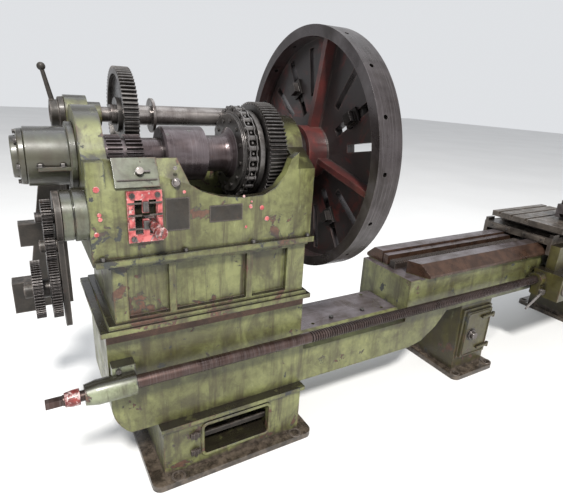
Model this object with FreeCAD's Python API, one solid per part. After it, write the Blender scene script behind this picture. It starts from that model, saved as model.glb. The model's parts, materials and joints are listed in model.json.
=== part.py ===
"""Heavy gap-bed facing lathe with a large faceplate, a geared headstock on a riser block, a carriage and a tailstock.

Millimetres. +X runs from the headstock to the tailstock, +Y away from the operator, +Z up.
Everything is laid out from the spindle axis at the back of the faceplate rim. At the end the whole
machine is moved so that its origin is on the floor, under the middle of its overall box.
"""
import FreeCAD
import Part
import math
import os

V = FreeCAD.Vector

# ---- driving dimensions -------------------------------------------------------------------------
SPINDLE_HEIGHT = 1320.0
WAYS_BELOW_SPINDLE = 570.0
FACEPLATE_RADIUS = 500.0
FACEPLATE_THICKNESS = 105.0
BED_LENGTH = 3780.0
BED_HALF_WIDTH = 190.0
BED_LEFT = -880.0
GAP_LENGTH = 660.0
GAP_DEPTH = 248.0
HEADSTOCK_LENGTH = 820.0
HEADSTOCK_HALF_WIDTH = 240.0
RISER_HEIGHT = 250.0
RISER_HALF_WIDTH = 235.0
PEDESTAL_HALF_WIDTH = 215.0
LEG_HALF_WIDTH = 205.0
FLOOR_FLANGE = 28.0
FLOOR_HOLE_RADIUS = 11.0

# clearances
RUN = 0.05
SEAT = 0.02
SLIDE = 0.15

# spindle and its bearings
SPINDLE_BORE_RADIUS = 30.0
REAR_JOURNAL_RADIUS = 50.0
SLEEVE_SEAT_RADIUS = 55.0
BULL_SEAT_RADIUS = 62.0
FRONT_JOURNAL_RADIUS = 80.0
NOSE_RADIUS = 60.0

# gears
HEAD_MODULE = 5.0
BULL_TEETH = 77
BACK_PINION_TEETH = 17
SLEEVE_TEETH = 26
BACK_GEAR_TEETH = 68
CHANGE_MODULE = 3.0
REVERSE_TEETH = 34
IDLER_TEETH = 29
STUD_TEETH = 64
STUD_OUTER_TEETH = 60
RACK_MODULE = 5.0
RACK_PINION_TEETH = 20
PRESSURE_ANGLE = math.radians(20.0)
BACKLASH = 0.9

# back shaft
BACK_SHAFT_Z = 124.0
BACK_TUBE_RADIUS = 38.0
BACK_JOURNAL_RADIUS = 28.0

# change gears on the left end
REVERSE_Y = -170.0
REVERSE_Z = -160.0
REVERSE_SHAFT_RADIUS = 16.0
STUD_RADIUS = 14.0
CHANGE_GEAR_WIDTH = 28.0
CHANGE_PLANE = -1030.0

# leadscrew
LEADSCREW_RADIUS = 24.5
LEADSCREW_Y = -250.0
LEADSCREW_Z = -774.0
LEADSCREW_LEFT = -1091.0

# ways
WAY_OUTER = 157.0
WAY_INNER = 85.0
WAY_LIP = 215.0
WAY_DEPTH = 50.0
WAY_LIP_THICKNESS = 15.0
BED_TROUGH_DEPTH = 70.0

# faceplate
RIM_WALL = 42.0
WEB_THICKNESS = 38.0
HUB_RADIUS = 112.0
RIB_TURN = 13.0
RIB_WIDTH = 24.0
SLOT_WIDTH = 30.0
JAW_SLOT_WIDTH = 36.0
JAW_SLOT_INNER = 175.0
JAW_SLOT_OUTER = 440.0
JAW_RADIUS = 300.0

# carriage, cross slide and compound
SADDLE_LEFT = 1725.0
SADDLE_LENGTH = 600.0
APRON_LEFT = 1665.0
APRON_LENGTH = 640.0
APRON_DEPTH = 150.0
CROSS_SCREW_RADIUS = 14.0
TOP_SCREW_RADIUS = 9.0
COMPOUND_X = 2005.0
COMPOUND_Y = -200.0
CROSS_FRONT = -300.0
CROSS_REAR = 180.0
TABLE_SLOTS = (-60.0, 40.0, 130.0)

# tailstock
TAILSTOCK_LEFT = 2480.0
TAILSTOCK_LENGTH = 340.0
QUILL_RADIUS = 45.0
QUILL_BORE_RADIUS = 16.0
QUILL_BORE_DEPTH = 120.0
TAIL_SCREW_RADIUS = 18.0

# legs
PEDESTAL_LEFT = -700.0
PEDESTAL_RIGHT = -55.0
MIDDLE_LEG_LEFT = 1050.0
MIDDLE_LEG_LENGTH = 270.0
TAIL_LEG_LEFT = 2470.0
FLANGE_MARGIN = 50.0

# ---- derived levels and places ------------------------------------------------------------------
FLOOR = -SPINDLE_HEIGHT
WAYS = -WAYS_BELOW_SPINDLE
BED_RIGHT = BED_LEFT + BED_LENGTH
BED_BELLY = WAYS - 473.0
BED_TAIL_BOTTOM = WAYS - 300.0
TROUGH = WAYS - BED_TROUGH_DEPTH
GAP_RIGHT = 600.0
GAP_LEFT = GAP_RIGHT - GAP_LENGTH
GAP_FLOOR = WAYS - GAP_DEPTH
RISER_TOP = WAYS + RISER_HEIGHT
HEAD_LEFT = -905.0
HEAD_RIGHT = HEAD_LEFT + HEADSTOCK_LENGTH
HEAD_WALL = 75.0
HEAD_SHELL = 35.0
HEAD_FLOOR = RISER_TOP + 90.0

BULL_PITCH = HEAD_MODULE * BULL_TEETH / 2.0
BACK_PINION_PITCH = HEAD_MODULE * BACK_PINION_TEETH / 2.0
SLEEVE_PITCH = HEAD_MODULE * SLEEVE_TEETH / 2.0
BACK_DISTANCE = BULL_PITCH + BACK_PINION_PITCH
BACK_SHAFT_Y = math.sqrt(BACK_DISTANCE ** 2 - BACK_SHAFT_Z ** 2)
REVERSE_PITCH = CHANGE_MODULE * REVERSE_TEETH / 2.0
IDLER_PITCH = CHANGE_MODULE * IDLER_TEETH / 2.0
STUD_PITCH = CHANGE_MODULE * STUD_TEETH / 2.0
IDLER_DIRECTION = math.radians(-87.0)
STUD_DIRECTION = math.radians(-92.0)
IDLER_Y = REVERSE_Y + (REVERSE_PITCH + IDLER_PITCH) * math.cos(IDLER_DIRECTION)
IDLER_Z = REVERSE_Z + (REVERSE_PITCH + IDLER_PITCH) * math.sin(IDLER_DIRECTION)
STUD_Y = IDLER_Y + (IDLER_PITCH + STUD_PITCH) * math.cos(STUD_DIRECTION)
STUD_Z = IDLER_Z + (IDLER_PITCH + STUD_PITCH) * math.sin(STUD_DIRECTION)

WEB_BACK = FACEPLATE_THICKNESS - WEB_THICKNESS
RACK_TOP = WAYS - 25.0
RACK_PITCH_LINE = RACK_TOP - RACK_MODULE
RACK_PINION_PITCH = RACK_MODULE * RACK_PINION_TEETH / 2.0
RACK_PINION_Z = RACK_PITCH_LINE + RACK_PINION_PITCH
RACK_LEFT = GAP_RIGHT + 45.0
RACK_STEP = math.pi * RACK_MODULE
RACK_PINION_X = RACK_LEFT + 100.0 * RACK_STEP
SADDLE_RIGHT = SADDLE_LEFT + SADDLE_LENGTH
SADDLE_TOP = WAYS + 45.0
SADDLE_REACH = WAY_LIP + 25.0
CROSS_BOTTOM = SADDLE_TOP + 50.0
CROSS_TOP = CROSS_BOTTOM + 35.0
CROSS_LEFT = SADDLE_LEFT - 25.0
CROSS_RIGHT = SADDLE_RIGHT - 60.0
CROSS_SCREW_Z = SADDLE_TOP + 26.0
SWIVEL_TOP = CROSS_TOP + 32.0
TOP_SLIDE_TOP = SWIVEL_TOP + 72.0
TOP_SCREW_Z = SWIVEL_TOP + 45.0
APRON_BOTTOM = LEADSCREW_Z - 106.0
APRON_SHELF = LEADSCREW_Z + 60.0
APRON_FRONT = -SADDLE_REACH - APRON_DEPTH
APRON_BEARING_FRONT = APRON_FRONT - 50.0
TAILSTOCK_RIGHT = TAILSTOCK_LEFT + TAILSTOCK_LENGTH


# ---- shape helpers ------------------------------------------------------------------------------
def block(x0, x1, y0, y1, z0, z1):
    return Part.makeBox(x1 - x0, y1 - y0, z1 - z0, V(x0, y0, z0))


def along_x(x0, x1, y, z, radius):
    return Part.makeCylinder(radius, x1 - x0, V(x0, y, z), V(1, 0, 0))


def along_y(y0, y1, x, z, radius):
    return Part.makeCylinder(radius, y1 - y0, V(x, y0, z), V(0, 1, 0))


def along_z(z0, z1, x, y, radius):
    return Part.makeCylinder(radius, z1 - z0, V(x, y, z0), V(0, 0, 1))


def prism(corners, travel):
    """A flat outline, given as vectors, pushed along a vector."""
    outline = Part.makePolygon(corners + [corners[0]])
    return Part.Face(outline).extrude(travel)


def prism_x(corners, x0, x1):
    return prism([V(x0, y, z) for y, z in corners], V(x1 - x0, 0, 0))


def prism_y(corners, y0, y1):
    return prism([V(x, y0, z) for x, z in corners], V(0, y1 - y0, 0))


def prism_z(corners, z0, z1):
    return prism([V(x, y, z0) for x, y in corners], V(0, 0, z1 - z0))


def turned_x(profile, y, z):
    """A solid of revolution about an axis along X; profile is a list of (x, radius)."""
    first, last = profile[0][0], profile[-1][0]
    corners = [V(first, y, z)] + [V(x, y, z + radius) for x, radius in profile] + [V(last, y, z)]
    outline = Part.makePolygon(corners + [corners[0]])
    return Part.Face(outline).revolve(V(0, y, z), V(1, 0, 0), 360.0)


def arc_points(centre_a, centre_b, radius, start, end, steps=10):
    """Points along a circular arc, angles in degrees."""
    angles = [math.radians(start + (end - start) * i / steps) for i in range(steps + 1)]
    return [(centre_a + radius * math.cos(a), centre_b + radius * math.sin(a)) for a in angles]


def join(shapes):
    return shapes[0].fuse(shapes[1:]).removeSplitter()


def carve(shape, tools):
    for tool in tools:
        shape = shape.cut(tool)
    return shape


def round_upright_edges(shape, radius):
    edges = [e for e in shape.Edges if is_upright(e)]
    return shape.makeFillet(radius, edges)


def is_upright(edge):
    start, end = edge.Vertexes[0].Point, edge.Vertexes[-1].Point
    return abs(start.x - end.x) < 0.01 and abs(start.y - end.y) < 0.01


def handle_wheel_y(y0, x, z, radius, width, spokes, bore):
    """A spoked wheel on an axis along Y."""
    rim = along_y(y0, y0 + width, x, z, radius).cut(along_y(y0, y0 + width, x, z, radius - 16.0))
    parts = [rim, along_y(y0, y0 + width, x, z, bore + 14.0)]
    for i in range(spokes):
        arm = block(x, x + radius - 8.0, y0 + 2.0, y0 + width - 2.0, z - 7.0, z + 7.0)
        arm.rotate(V(x, 0, z), V(0, 1, 0), 360.0 * i / spokes)
        parts.append(arm)
    return join(parts)


# ---- gears --------------------------------------------------------------------------------------
def involute(angle):
    return math.tan(angle) - angle


def tooth_flank(module, teeth):
    """Half of one tooth as (radius, half angle), from the root to the tip."""
    pitch = module * teeth / 2.0
    base = pitch * math.cos(PRESSURE_ANGLE)
    root = pitch - 1.25 * module
    tip = pitch + module
    half_at_pitch = math.pi / (2.0 * teeth) - BACKLASH * module / HEAD_MODULE / (4.0 * pitch)
    start = max(base, root)
    flank = []
    if root < base:
        flank.append((root, half_at_pitch + involute(PRESSURE_ANGLE)))
    for i in range(4):
        radius = start + (tip - start) * i / 3.0
        slope = math.acos(min(1.0, base / radius))
        flank.append((radius, half_at_pitch + involute(PRESSURE_ANGLE) - involute(slope)))
    return flank


def gear_x(module, teeth, x0, x1, y, z, phase, bore):
    """A spur gear on an axis along X with one tooth centred at the phase angle."""
    flank = tooth_flank(module, teeth)
    corners = []
    for i in range(teeth):
        middle = phase + 2.0 * math.pi * i / teeth
        sides = [(r, -half) for r, half in flank] + [(r, half) for r, half in reversed(flank)]
        for radius, offset in sides:
            angle = middle + offset
            corners.append((y + radius * math.cos(angle), z + radius * math.sin(angle)))
    body = prism_x(corners, x0, x1)
    return body.cut(along_x(x0, x1, y, z, bore))


def mating_phase(teeth, phase, direction, mate_teeth):
    """Phase of a gear that meshes, in the given direction, with a gear of known phase."""
    turn = teeth * (direction - phase) + mate_teeth * (direction + math.pi) - math.pi
    return turn / mate_teeth


# ---- bed and its supports -----------------------------------------------------------------------
def way_outline(side):
    """Section of one outer way; side is -1 for the operator's side and +1 for the far side."""
    outline = [
        (WAY_INNER, WAYS), (WAY_OUTER, WAYS), (WAY_LIP, WAYS - WAY_DEPTH),
        (WAY_LIP, WAYS - WAY_DEPTH - WAY_LIP_THICKNESS), (BED_HALF_WIDTH - 10.0, TROUGH - 5.0),
        (WAY_INNER, TROUGH - 5.0),
    ]
    return [(side * y, z) for y, z in outline]


def make_bed():
    belly = [(BED_LEFT, WAYS), (BED_LEFT, BED_BELLY + 140.0)]
    belly += arc_points(BED_LEFT + 180.0, BED_BELLY + 140.0, 180.0, 180.0, 230.0, 6)
    belly += [(PEDESTAL_LEFT + 30.0, BED_BELLY), (GAP_RIGHT + 60.0, BED_BELLY)]
    belly += [(GAP_RIGHT + 150.0, BED_BELLY + 20.0), (GAP_RIGHT + 250.0, BED_BELLY + 90.0)]
    belly += [(GAP_RIGHT + 320.0, BED_TAIL_BOTTOM), (BED_RIGHT, BED_TAIL_BOTTOM)]
    belly += [(BED_RIGHT, TROUGH), (GAP_RIGHT, TROUGH), (GAP_RIGHT, GAP_FLOOR)]
    belly += [(GAP_LEFT, GAP_FLOOR), (GAP_LEFT, WAYS)]
    body = prism_y(belly, -BED_HALF_WIDTH, BED_HALF_WIDTH)
    shapes = [body]
    for side, start in ((-1, GAP_RIGHT + 65.0), (1, GAP_RIGHT + 45.0)):
        shapes.append(prism_x(way_outline(side), start, BED_RIGHT))
    inner_way = block(GAP_RIGHT + 45.0, BED_RIGHT, 40.0, 78.0, TROUGH - 5.0, WAYS - 12.0)
    shapes.append(inner_way)
    bed = join(shapes)
    cuts = []
    for side in (-1, 1):
        shoulder = [(side * (BED_HALF_WIDTH + 1.0), GAP_FLOOR + 1.0), (side * 117.0, GAP_FLOOR + 1.0),
                    (side * 117.0, GAP_FLOOR), (side * (BED_HALF_WIDTH + 1.0), GAP_FLOOR - 55.0)]
        cuts.append(prism_x(shoulder, GAP_LEFT + 20.0, GAP_RIGHT))
        for x in (GAP_LEFT + 140.0, GAP_RIGHT - 80.0):
            cuts.append(along_z(GAP_FLOOR - 30.0, GAP_FLOOR + 1.0, x, side * 85.0, 9.0))
    way_nose = [(GAP_RIGHT + 64.0, -WAY_LIP - 1.0), (GAP_RIGHT + 110.0, -WAY_LIP - 1.0),
                (GAP_RIGHT + 64.0, -WAY_INNER)]
    cuts.append(prism_z(way_nose, TROUGH + 0.5, WAYS + 1.0))
    return carve(bed, cuts)


def make_rack():
    length = BED_RIGHT - RACK_LEFT - 300.0
    count = int(length / RACK_STEP)
    half_gap = RACK_STEP / 4.0
    slope = math.tan(PRESSURE_ANGLE)
    root = RACK_PITCH_LINE - 1.25 * RACK_MODULE
    play = BACKLASH / 2.0
    corners = [(RACK_LEFT - half_gap * 2.0, TROUGH), (RACK_LEFT - half_gap * 2.0, RACK_TOP)]
    for i in range(count):
        x = RACK_LEFT + i * RACK_STEP
        top = half_gap + RACK_MODULE * slope + play
        bottom = half_gap - 1.25 * RACK_MODULE * slope + play
        corners += [(x - top, RACK_TOP), (x - bottom, root), (x + bottom, root), (x + top, RACK_TOP)]
    corners += [(RACK_LEFT + count * RACK_STEP, RACK_TOP), (RACK_LEFT + count * RACK_STEP, TROUGH)]
    return prism_y(corners, -25.0, 15.0)


def foot_flange(x0, x1, half_width):
    flange = block(x0, x1, -half_width, half_width, FLOOR, FLOOR + FLOOR_FLANGE)
    return round_upright_edges(flange, 38.0)


def flange_holes(x0, x1, half_width):
    """Foundation holes with spot faces, one near each corner."""
    cuts = []
    for x in (x0, x1):
        for y in (-half_width, half_width):
            cuts.append(along_z(FLOOR - 1.0, FLOOR + FLOOR_FLANGE + 1.0, x, y, FLOOR_HOLE_RADIUS))
            cuts.append(along_z(FLOOR + FLOOR_FLANGE - 3.0, FLOOR + FLOOR_FLANGE + 1.0, x, y, 21.0))
    return cuts


PEDESTAL_HOLES_X = (PEDESTAL_LEFT + 50.0, PEDESTAL_RIGHT - 20.0)
PEDESTAL_HOLES_Y = PEDESTAL_HALF_WIDTH + 24.0
LEG_HOLES_Y = LEG_HALF_WIDTH + 34.0
CUPBOARD = (PEDESTAL_LEFT + 155.0, PEDESTAL_RIGHT - 150.0, -190.0, 150.0, FLOOR + 70.0, FLOOR + 230.0)
TRAY_LEVEL = FLOOR + 120.0


def make_left_pedestal():
    top = BED_BELLY
    body = block(PEDESTAL_LEFT, PEDESTAL_RIGHT, -PEDESTAL_HALF_WIDTH, PEDESTAL_HALF_WIDTH, FLOOR, top)
    lip = block(PEDESTAL_LEFT - 12.0, PEDESTAL_RIGHT + 12.0, -PEDESTAL_HALF_WIDTH - 20.0,
                PEDESTAL_HALF_WIDTH + 20.0, top - 19.0, top)
    flange = foot_flange(PEDESTAL_LEFT - FLANGE_MARGIN - 7.0, PEDESTAL_RIGHT + FLANGE_MARGIN + 8.0,
                         PEDESTAL_HALF_WIDTH + FLANGE_MARGIN)
    body = join([body, lip, flange])
    x0, x1, y0, y1, z0, z1 = CUPBOARD
    window = block(x0 + 17.0, x1 - 17.0, -PEDESTAL_HALF_WIDTH - 1.0, y0 + 1.0, z0 + 8.0, z1 - 8.0)
    cuts = [block(x0, x1, y0, y1, z0, z1), window]
    cuts += flange_holes(PEDESTAL_HOLES_X[0], PEDESTAL_HOLES_X[1], PEDESTAL_HOLES_Y)
    return carve(body, cuts)


def make_pedestal_tray():
    x0, x1, y0, y1 = CUPBOARD[:4]
    shelf = block(x0, x1, y0 + 20.0, y1, TRAY_LEVEL, TRAY_LEVEL + 10.0)
    lip = block(x0, x1, y0 + 20.0, y0 + 30.0, TRAY_LEVEL + 10.0, TRAY_LEVEL + 24.0)
    return join([shelf, lip])


def leg_body(left, length):
    """A battered box leg on a rounded foot flange."""
    right = left + length
    top = BED_TAIL_BOTTOM
    half_top = LEG_HALF_WIDTH - 15.0
    section = [(-half_top, top), (-LEG_HALF_WIDTH, FLOOR), (LEG_HALF_WIDTH, FLOOR), (half_top, top)]
    shapes = [prism_x(section, left, right)]
    shapes.append(foot_flange(left - 40.0, right + 40.0, LEG_HALF_WIDTH + 68.0))
    holes = flange_holes(left - 10.0, right + 10.0, LEG_HOLES_Y)
    return carve(join(shapes), holes)


DOOR_LEFT = MIDDLE_LEG_LEFT + 28.0
DOOR_RIGHT = MIDDLE_LEG_LEFT + MIDDLE_LEG_LENGTH - 24.0
DOOR_BOTTOM = FLOOR + 115.0
DOOR_TOP = BED_TAIL_BOTTOM - 40.0
DOOR_FACE = -LEG_HALF_WIDTH - 2.0
DOOR_HINGE_X = DOOR_RIGHT + 10.0
DOOR_HINGE_Y = DOOR_FACE - 22.0
LEG_CAVITY = (MIDDLE_LEG_LEFT + 35.0, MIDDLE_LEG_LEFT + MIDDLE_LEG_LENGTH - 35.0, -165.0, 160.0,
              DOOR_BOTTOM + 15.0, DOOR_TOP - 15.0)


def make_middle_leg():
    leg = leg_body(MIDDLE_LEG_LEFT, MIDDLE_LEG_LENGTH)
    x0, x1, y0, y1, z0, z1 = LEG_CAVITY
    frame = block(DOOR_LEFT - 14.0, DOOR_RIGHT + 14.0, DOOR_FACE, -150.0, DOOR_BOTTOM - 14.0, DOOR_TOP + 14.0)
    cavity = block(x0, x1, y0, y1, z0, z1)
    way_in = block(x0 + 12.0, x1 - 12.0, DOOR_FACE - 1.0, y0 + 1.0, z0 + 12.0, z1 - 12.0)
    return carve(join([leg, frame]), [cavity, way_in])


def make_leg_door():
    panel = block(DOOR_LEFT, DOOR_RIGHT, DOOR_FACE - 16.0, DOOR_FACE - 0.3, DOOR_BOTTOM, DOOR_TOP)
    shapes = [panel]
    for level in (DOOR_BOTTOM + 30.0, DOOR_TOP - 60.0):
        shapes.append(along_z(level, level + 30.0, DOOR_HINGE_X, DOOR_HINGE_Y, 9.0))
        shapes.append(block(DOOR_RIGHT - 60.0, DOOR_HINGE_X, DOOR_FACE - 26.0, DOOR_FACE - 15.0,
                            level + 4.0, level + 26.0))
    hole = along_y(DOOR_FACE - 17.0, DOOR_FACE, KNOB_X, KNOB_Z, KNOB_STEM + RUN)
    return join(shapes).cut(hole)


KNOB_X = DOOR_LEFT + 62.0
KNOB_Z = (DOOR_BOTTOM + DOOR_TOP) / 2.0
KNOB_STEM = 9.0


def make_door_knob():
    stem = along_y(DOOR_FACE - 40.0, DOOR_FACE - 0.3, KNOB_X, KNOB_Z, KNOB_STEM)
    rose = along_y(DOOR_FACE - 26.0, DOOR_FACE - 16.0 - SLIDE, KNOB_X, KNOB_Z, 30.0)
    grip = along_y(DOOR_FACE - 46.0, DOOR_FACE - 26.0, KNOB_X, KNOB_Z, 22.0)
    return join([stem, rose, grip])


def make_tail_leg():
    return leg_body(TAIL_LEG_LEFT, MIDDLE_LEG_LENGTH)


# ---- riser and headstock ------------------------------------------------------------------------
RISER_LEFT = HEAD_LEFT + 55.0
RISER_RIGHT = HEAD_RIGHT - 15.0
RISER_RIBS = (HEAD_LEFT + 257.0, HEAD_LEFT + 557.0)


def make_riser():
    half = RISER_HALF_WIDTH
    body = block(RISER_LEFT, RISER_RIGHT, -half, half, WAYS, RISER_TOP)
    top_lip = block(RISER_LEFT - 10.0, RISER_RIGHT + 5.0, -half - 10.0, half + 10.0, RISER_TOP - 14.0, RISER_TOP)
    step = block(RISER_LEFT - 25.0, RISER_RIGHT + 12.0, -half - 14.0, half + 14.0, WAYS + 20.0, WAYS + 34.0)
    foot = block(HEAD_LEFT, HEAD_RIGHT + 12.0, -half - 27.0, half + 27.0, WAYS, WAYS + 20.0)
    body = join([body, top_lip, step, foot])
    edges = [RISER_LEFT + 35.0, RISER_RIBS[0], RISER_RIBS[1], RISER_RIGHT - 70.0]
    rib = 13.0
    cuts = []
    for left, right in zip(edges[:-1], edges[1:]):
        for side in (-1, 1):
            y0, y1 = sorted((side * (half - 22.0), side * (half + 1.0)))
            cuts.append(block(left + rib, right - rib, y0, y1, WAYS + 44.0, RISER_TOP - 24.0))
    return carve(body, cuts)


COVER_LOW = (-HEADSTOCK_HALF_WIDTH, -72.0)
COVER_HIGH = (-HEADSTOCK_HALF_WIDTH + 50.0, 14.0)
GUARD_HINGE_X = HEAD_LEFT - 14.0
GUARD_HINGE_Y = HEADSTOCK_HALF_WIDTH + 10.0
GUARD_LEVELS = (-285.0, -180.0)
GUARD_KNUCKLE = 40.0
GUARD_PIN = 6.0
GATE_X = (-792.0, -680.0)
GATE_Z = (-248.0, -78.0)
GATE_FACE = -HEADSTOCK_HALF_WIDTH - 12.0
GATE_SLOTS = (-757.0, -712.0)
GATE_SLOT_HALF = 12.0
GATE_SLOT_Z = (-222.0, -108.0)
SHIFT_Z = -194.0
SHIFT_SHOE_HALF = 16.0


def end_wall(x0, x1, crown, shaft_boss):
    """A headstock end wall: straight sides, a round crown over the spindle and a back-shaft boss."""
    half = HEADSTOCK_HALF_WIDTH
    corner = [(-half, RISER_TOP), (-half, -30.0)]
    corner += arc_points(0.0, 0.0, crown, 165.0, 70.0, 12)
    corner += [(half, 30.0), (half, RISER_TOP)]
    wall = prism_x(corner, x0, x1)
    web = block(x0, x1, BACK_SHAFT_Y - shaft_boss, half, 0.0, BACK_SHAFT_Z)
    return join([wall, web, along_x(x0, x1, BACK_SHAFT_Y, BACK_SHAFT_Z, shaft_boss)])


def make_headstock():
    half = HEADSTOCK_HALF_WIDTH
    shell = HEAD_SHELL
    left_inner = HEAD_LEFT + HEAD_WALL
    right_inner = HEAD_RIGHT - HEAD_WALL
    flange = block(HEAD_LEFT + 6.0, HEAD_RIGHT + 6.0, -half - 22.0, half + 22.0, RISER_TOP, RISER_TOP + 22.0)
    floor = block(HEAD_LEFT, HEAD_RIGHT, -half, half, RISER_TOP, HEAD_FLOOR)
    front = [(HEAD_LEFT, HEAD_FLOOR - 1.0), (HEAD_LEFT, 14.0), (-610.0, 14.0), (-582.0, -68.0)]
    front += [(-540.0, -95.0), (-470.0, -116.0), (-384.0, -125.0), (-300.0, -120.0), (-250.0, -92.0)]
    front += [(-212.0, -45.0), (-190.0, 8.0), (right_inner, 30.0), (right_inner, HEAD_FLOOR - 1.0)]
    front_wall = prism_y(front, -half, -half + shell)
    cover_seat = prism_y([(HEAD_LEFT, -120.0), (HEAD_LEFT, 14.0), (-610.0, 14.0), (-582.0, -68.0),
                          (-582.0, -120.0)], -half, -half + 62.0)
    back_wall = block(HEAD_LEFT, HEAD_RIGHT, half - shell, half, HEAD_FLOOR - 1.0, BACK_SHAFT_Z - 195.0)
    left_wall = end_wall(HEAD_LEFT, left_inner, 165.0, 66.0)
    right_wall = end_wall(right_inner, HEAD_RIGHT, 150.0, 58.0)
    inner_boss = along_x(left_inner - 1.0, left_inner + 48.0, BACK_SHAFT_Y, BACK_SHAFT_Z, 44.0)
    shapes = [flange, floor, front_wall, cover_seat, back_wall, left_wall, right_wall, inner_boss]
    for level in GUARD_LEVELS:
        lug = block(GUARD_HINGE_X - 11.0, HEAD_LEFT + 1.0, GUARD_HINGE_Y - 24.0, GUARD_HINGE_Y + 3.0,
                    level - 12.0, level - SLIDE)
        shapes += [lug, along_z(level - 1.0, level + GUARD_KNUCKLE, GUARD_HINGE_X, GUARD_HINGE_Y, GUARD_PIN)]
    body = join(shapes)
    slope = [COVER_LOW, COVER_HIGH, (COVER_HIGH[0], 40.0), (-half - 1.0, 40.0), (-half - 1.0, COVER_LOW[1])]
    cuts = [prism_x(slope, left_inner - 20.0, -560.0)]
    cuts.append(along_x(HEAD_LEFT - 1.0, left_inner + 1.0, 0.0, 0.0, REAR_JOURNAL_RADIUS + RUN))
    cuts.append(along_x(right_inner - 1.0, HEAD_RIGHT + 1.0, 0.0, 0.0, FRONT_JOURNAL_RADIUS + RUN))
    for x0, x1 in ((HEAD_LEFT - 1.0, left_inner + 49.0), (right_inner - 1.0, HEAD_RIGHT + 1.0)):
        cuts.append(along_x(x0, x1, BACK_SHAFT_Y, BACK_SHAFT_Z, BACK_JOURNAL_RADIUS + RUN))
    shoe_wall = GATE_SLOTS[1] + SHIFT_SHOE_HALF + SLIDE
    cuts.append(block(GATE_SLOTS[0] - 15.0, shoe_wall, -half - 1.0, -half + 63.0,
                      GATE_SLOT_Z[0] - 10.0, GATE_SLOT_Z[1] + 10.0))
    cuts.append(along_x(HEAD_LEFT - 1.0, left_inner + 1.0, REVERSE_Y, REVERSE_Z, REVERSE_SHAFT_RADIUS + RUN))
    return carve(body, cuts)


def make_rear_bearing_housing():
    flanged = turned_x([(HEAD_LEFT - 145.0, 95.0), (HEAD_LEFT - 22.0, 95.0), (HEAD_LEFT - 22.0, 112.0),
                        (HEAD_LEFT, 112.0)], 0.0, 0.0)
    return flanged.cut(along_x(HEAD_LEFT - 146.0, HEAD_LEFT + 1.0, 0.0, 0.0, REAR_JOURNAL_RADIUS + RUN))


def make_rear_bearing_cap():
    left = HEAD_LEFT - 145.0
    cap = turned_x([(left - 38.0, 66.0), (left - 18.0, 68.0), (left - 18.0, 88.0), (left, 90.0)], 0.0, 0.0)
    return cap.cut(along_x(left - 39.0, left + 1.0, 0.0, 0.0, REAR_JOURNAL_RADIUS + RUN))


def make_front_bearing_ring():
    ring = along_x(HEAD_RIGHT, HEAD_RIGHT + 14.0, 0.0, 0.0, 122.0)
    return ring.cut(along_x(HEAD_RIGHT - 1.0, HEAD_RIGHT + 15.0, 0.0, 0.0, FRONT_JOURNAL_RADIUS + RUN))


def make_gear_cover():
    rise_y = COVER_HIGH[0] - COVER_LOW[0]
    rise_z = COVER_HIGH[1] - COVER_LOW[1]
    length = math.hypot(rise_y, rise_z)
    out_y, out_z = -rise_z / length * 10.0, rise_y / length * 10.0
    section = [COVER_LOW, COVER_HIGH, (COVER_HIGH[0] + out_y, COVER_HIGH[1] + out_z),
               (COVER_LOW[0] + out_y, COVER_LOW[1] + out_z)]
    plate = prism_x(section, -823.0, -683.0)
    hole = Part.makeCylinder(POINTER_STEM + RUN, 30.0, pointer_point(-12.0), POINTER_AXIS)
    return plate.cut(hole)


COVER_SLOPE = math.hypot(COVER_HIGH[0] - COVER_LOW[0], COVER_HIGH[1] - COVER_LOW[1])
POINTER_AXIS = V(0.0, -(COVER_HIGH[1] - COVER_LOW[1]) / COVER_SLOPE, (COVER_HIGH[0] - COVER_LOW[0]) / COVER_SLOPE)
POINTER_X = -744.0
POINTER_STEM = 6.0


def pointer_point(height):
    """A point on the pointer's axis, a given height above the sloping seat."""
    middle = V(POINTER_X, (COVER_LOW[0] + COVER_HIGH[0]) / 2.0, (COVER_LOW[1] + COVER_HIGH[1]) / 2.0)
    return middle + POINTER_AXIS * height


def make_cover_pointer():
    stem = Part.makeCylinder(POINTER_STEM, 26.0, pointer_point(0.3), POINTER_AXIS)
    knob = Part.makeCylinder(12.0, 12.0, pointer_point(14.0), POINTER_AXIS)
    finger = Part.makeCylinder(3.5, 34.0, pointer_point(17.0), V(1, 0, 0))
    return join([stem, knob, finger])


def make_gate_plate():
    half_x = GATE_SLOT_HALF
    plate = block(GATE_X[0], GATE_X[1], GATE_FACE, -HEADSTOCK_HALF_WIDTH, GATE_Z[0], GATE_Z[1])
    cuts = []
    for x in GATE_SLOTS:
        cuts.append(block(x - half_x, x + half_x, GATE_FACE - 1.0, -HEADSTOCK_HALF_WIDTH + 1.0,
                          GATE_SLOT_Z[0], GATE_SLOT_Z[1]))
    cross = block(GATE_SLOTS[0], GATE_SLOTS[1], GATE_FACE - 1.0, -HEADSTOCK_HALF_WIDTH + 1.0, -172.0, -150.0)
    cuts.append(cross)
    for x in (GATE_X[0] + 16.0, GATE_X[1] - 16.0):
        for z in (GATE_Z[0] + 14.0, GATE_Z[1] - 14.0):
            cuts.append(along_y(GATE_FACE - 1.0, GATE_FACE + 5.0, x, z, 7.0 + SEAT))
    return carve(plate, cuts)


def make_shift_handle():
    x = GATE_SLOTS[1]
    stem = along_y(GATE_FACE - 30.0, -HEADSTOCK_HALF_WIDTH + 60.0, x, SHIFT_Z, 9.0)
    barrel = along_y(GATE_FACE - 80.0, GATE_FACE - 12.0, x, SHIFT_Z, 15.0)
    grip = along_y(GATE_FACE - 96.0, GATE_FACE - 68.0, x, SHIFT_Z, 20.0)
    half = SHIFT_SHOE_HALF
    shoe = block(x - half, x + half, -HEADSTOCK_HALF_WIDTH + 20.0, -HEADSTOCK_HALF_WIDTH + 60.0,
                 SHIFT_Z - half, SHIFT_Z + half)
    return join([stem, barrel, grip, shoe])


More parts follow.
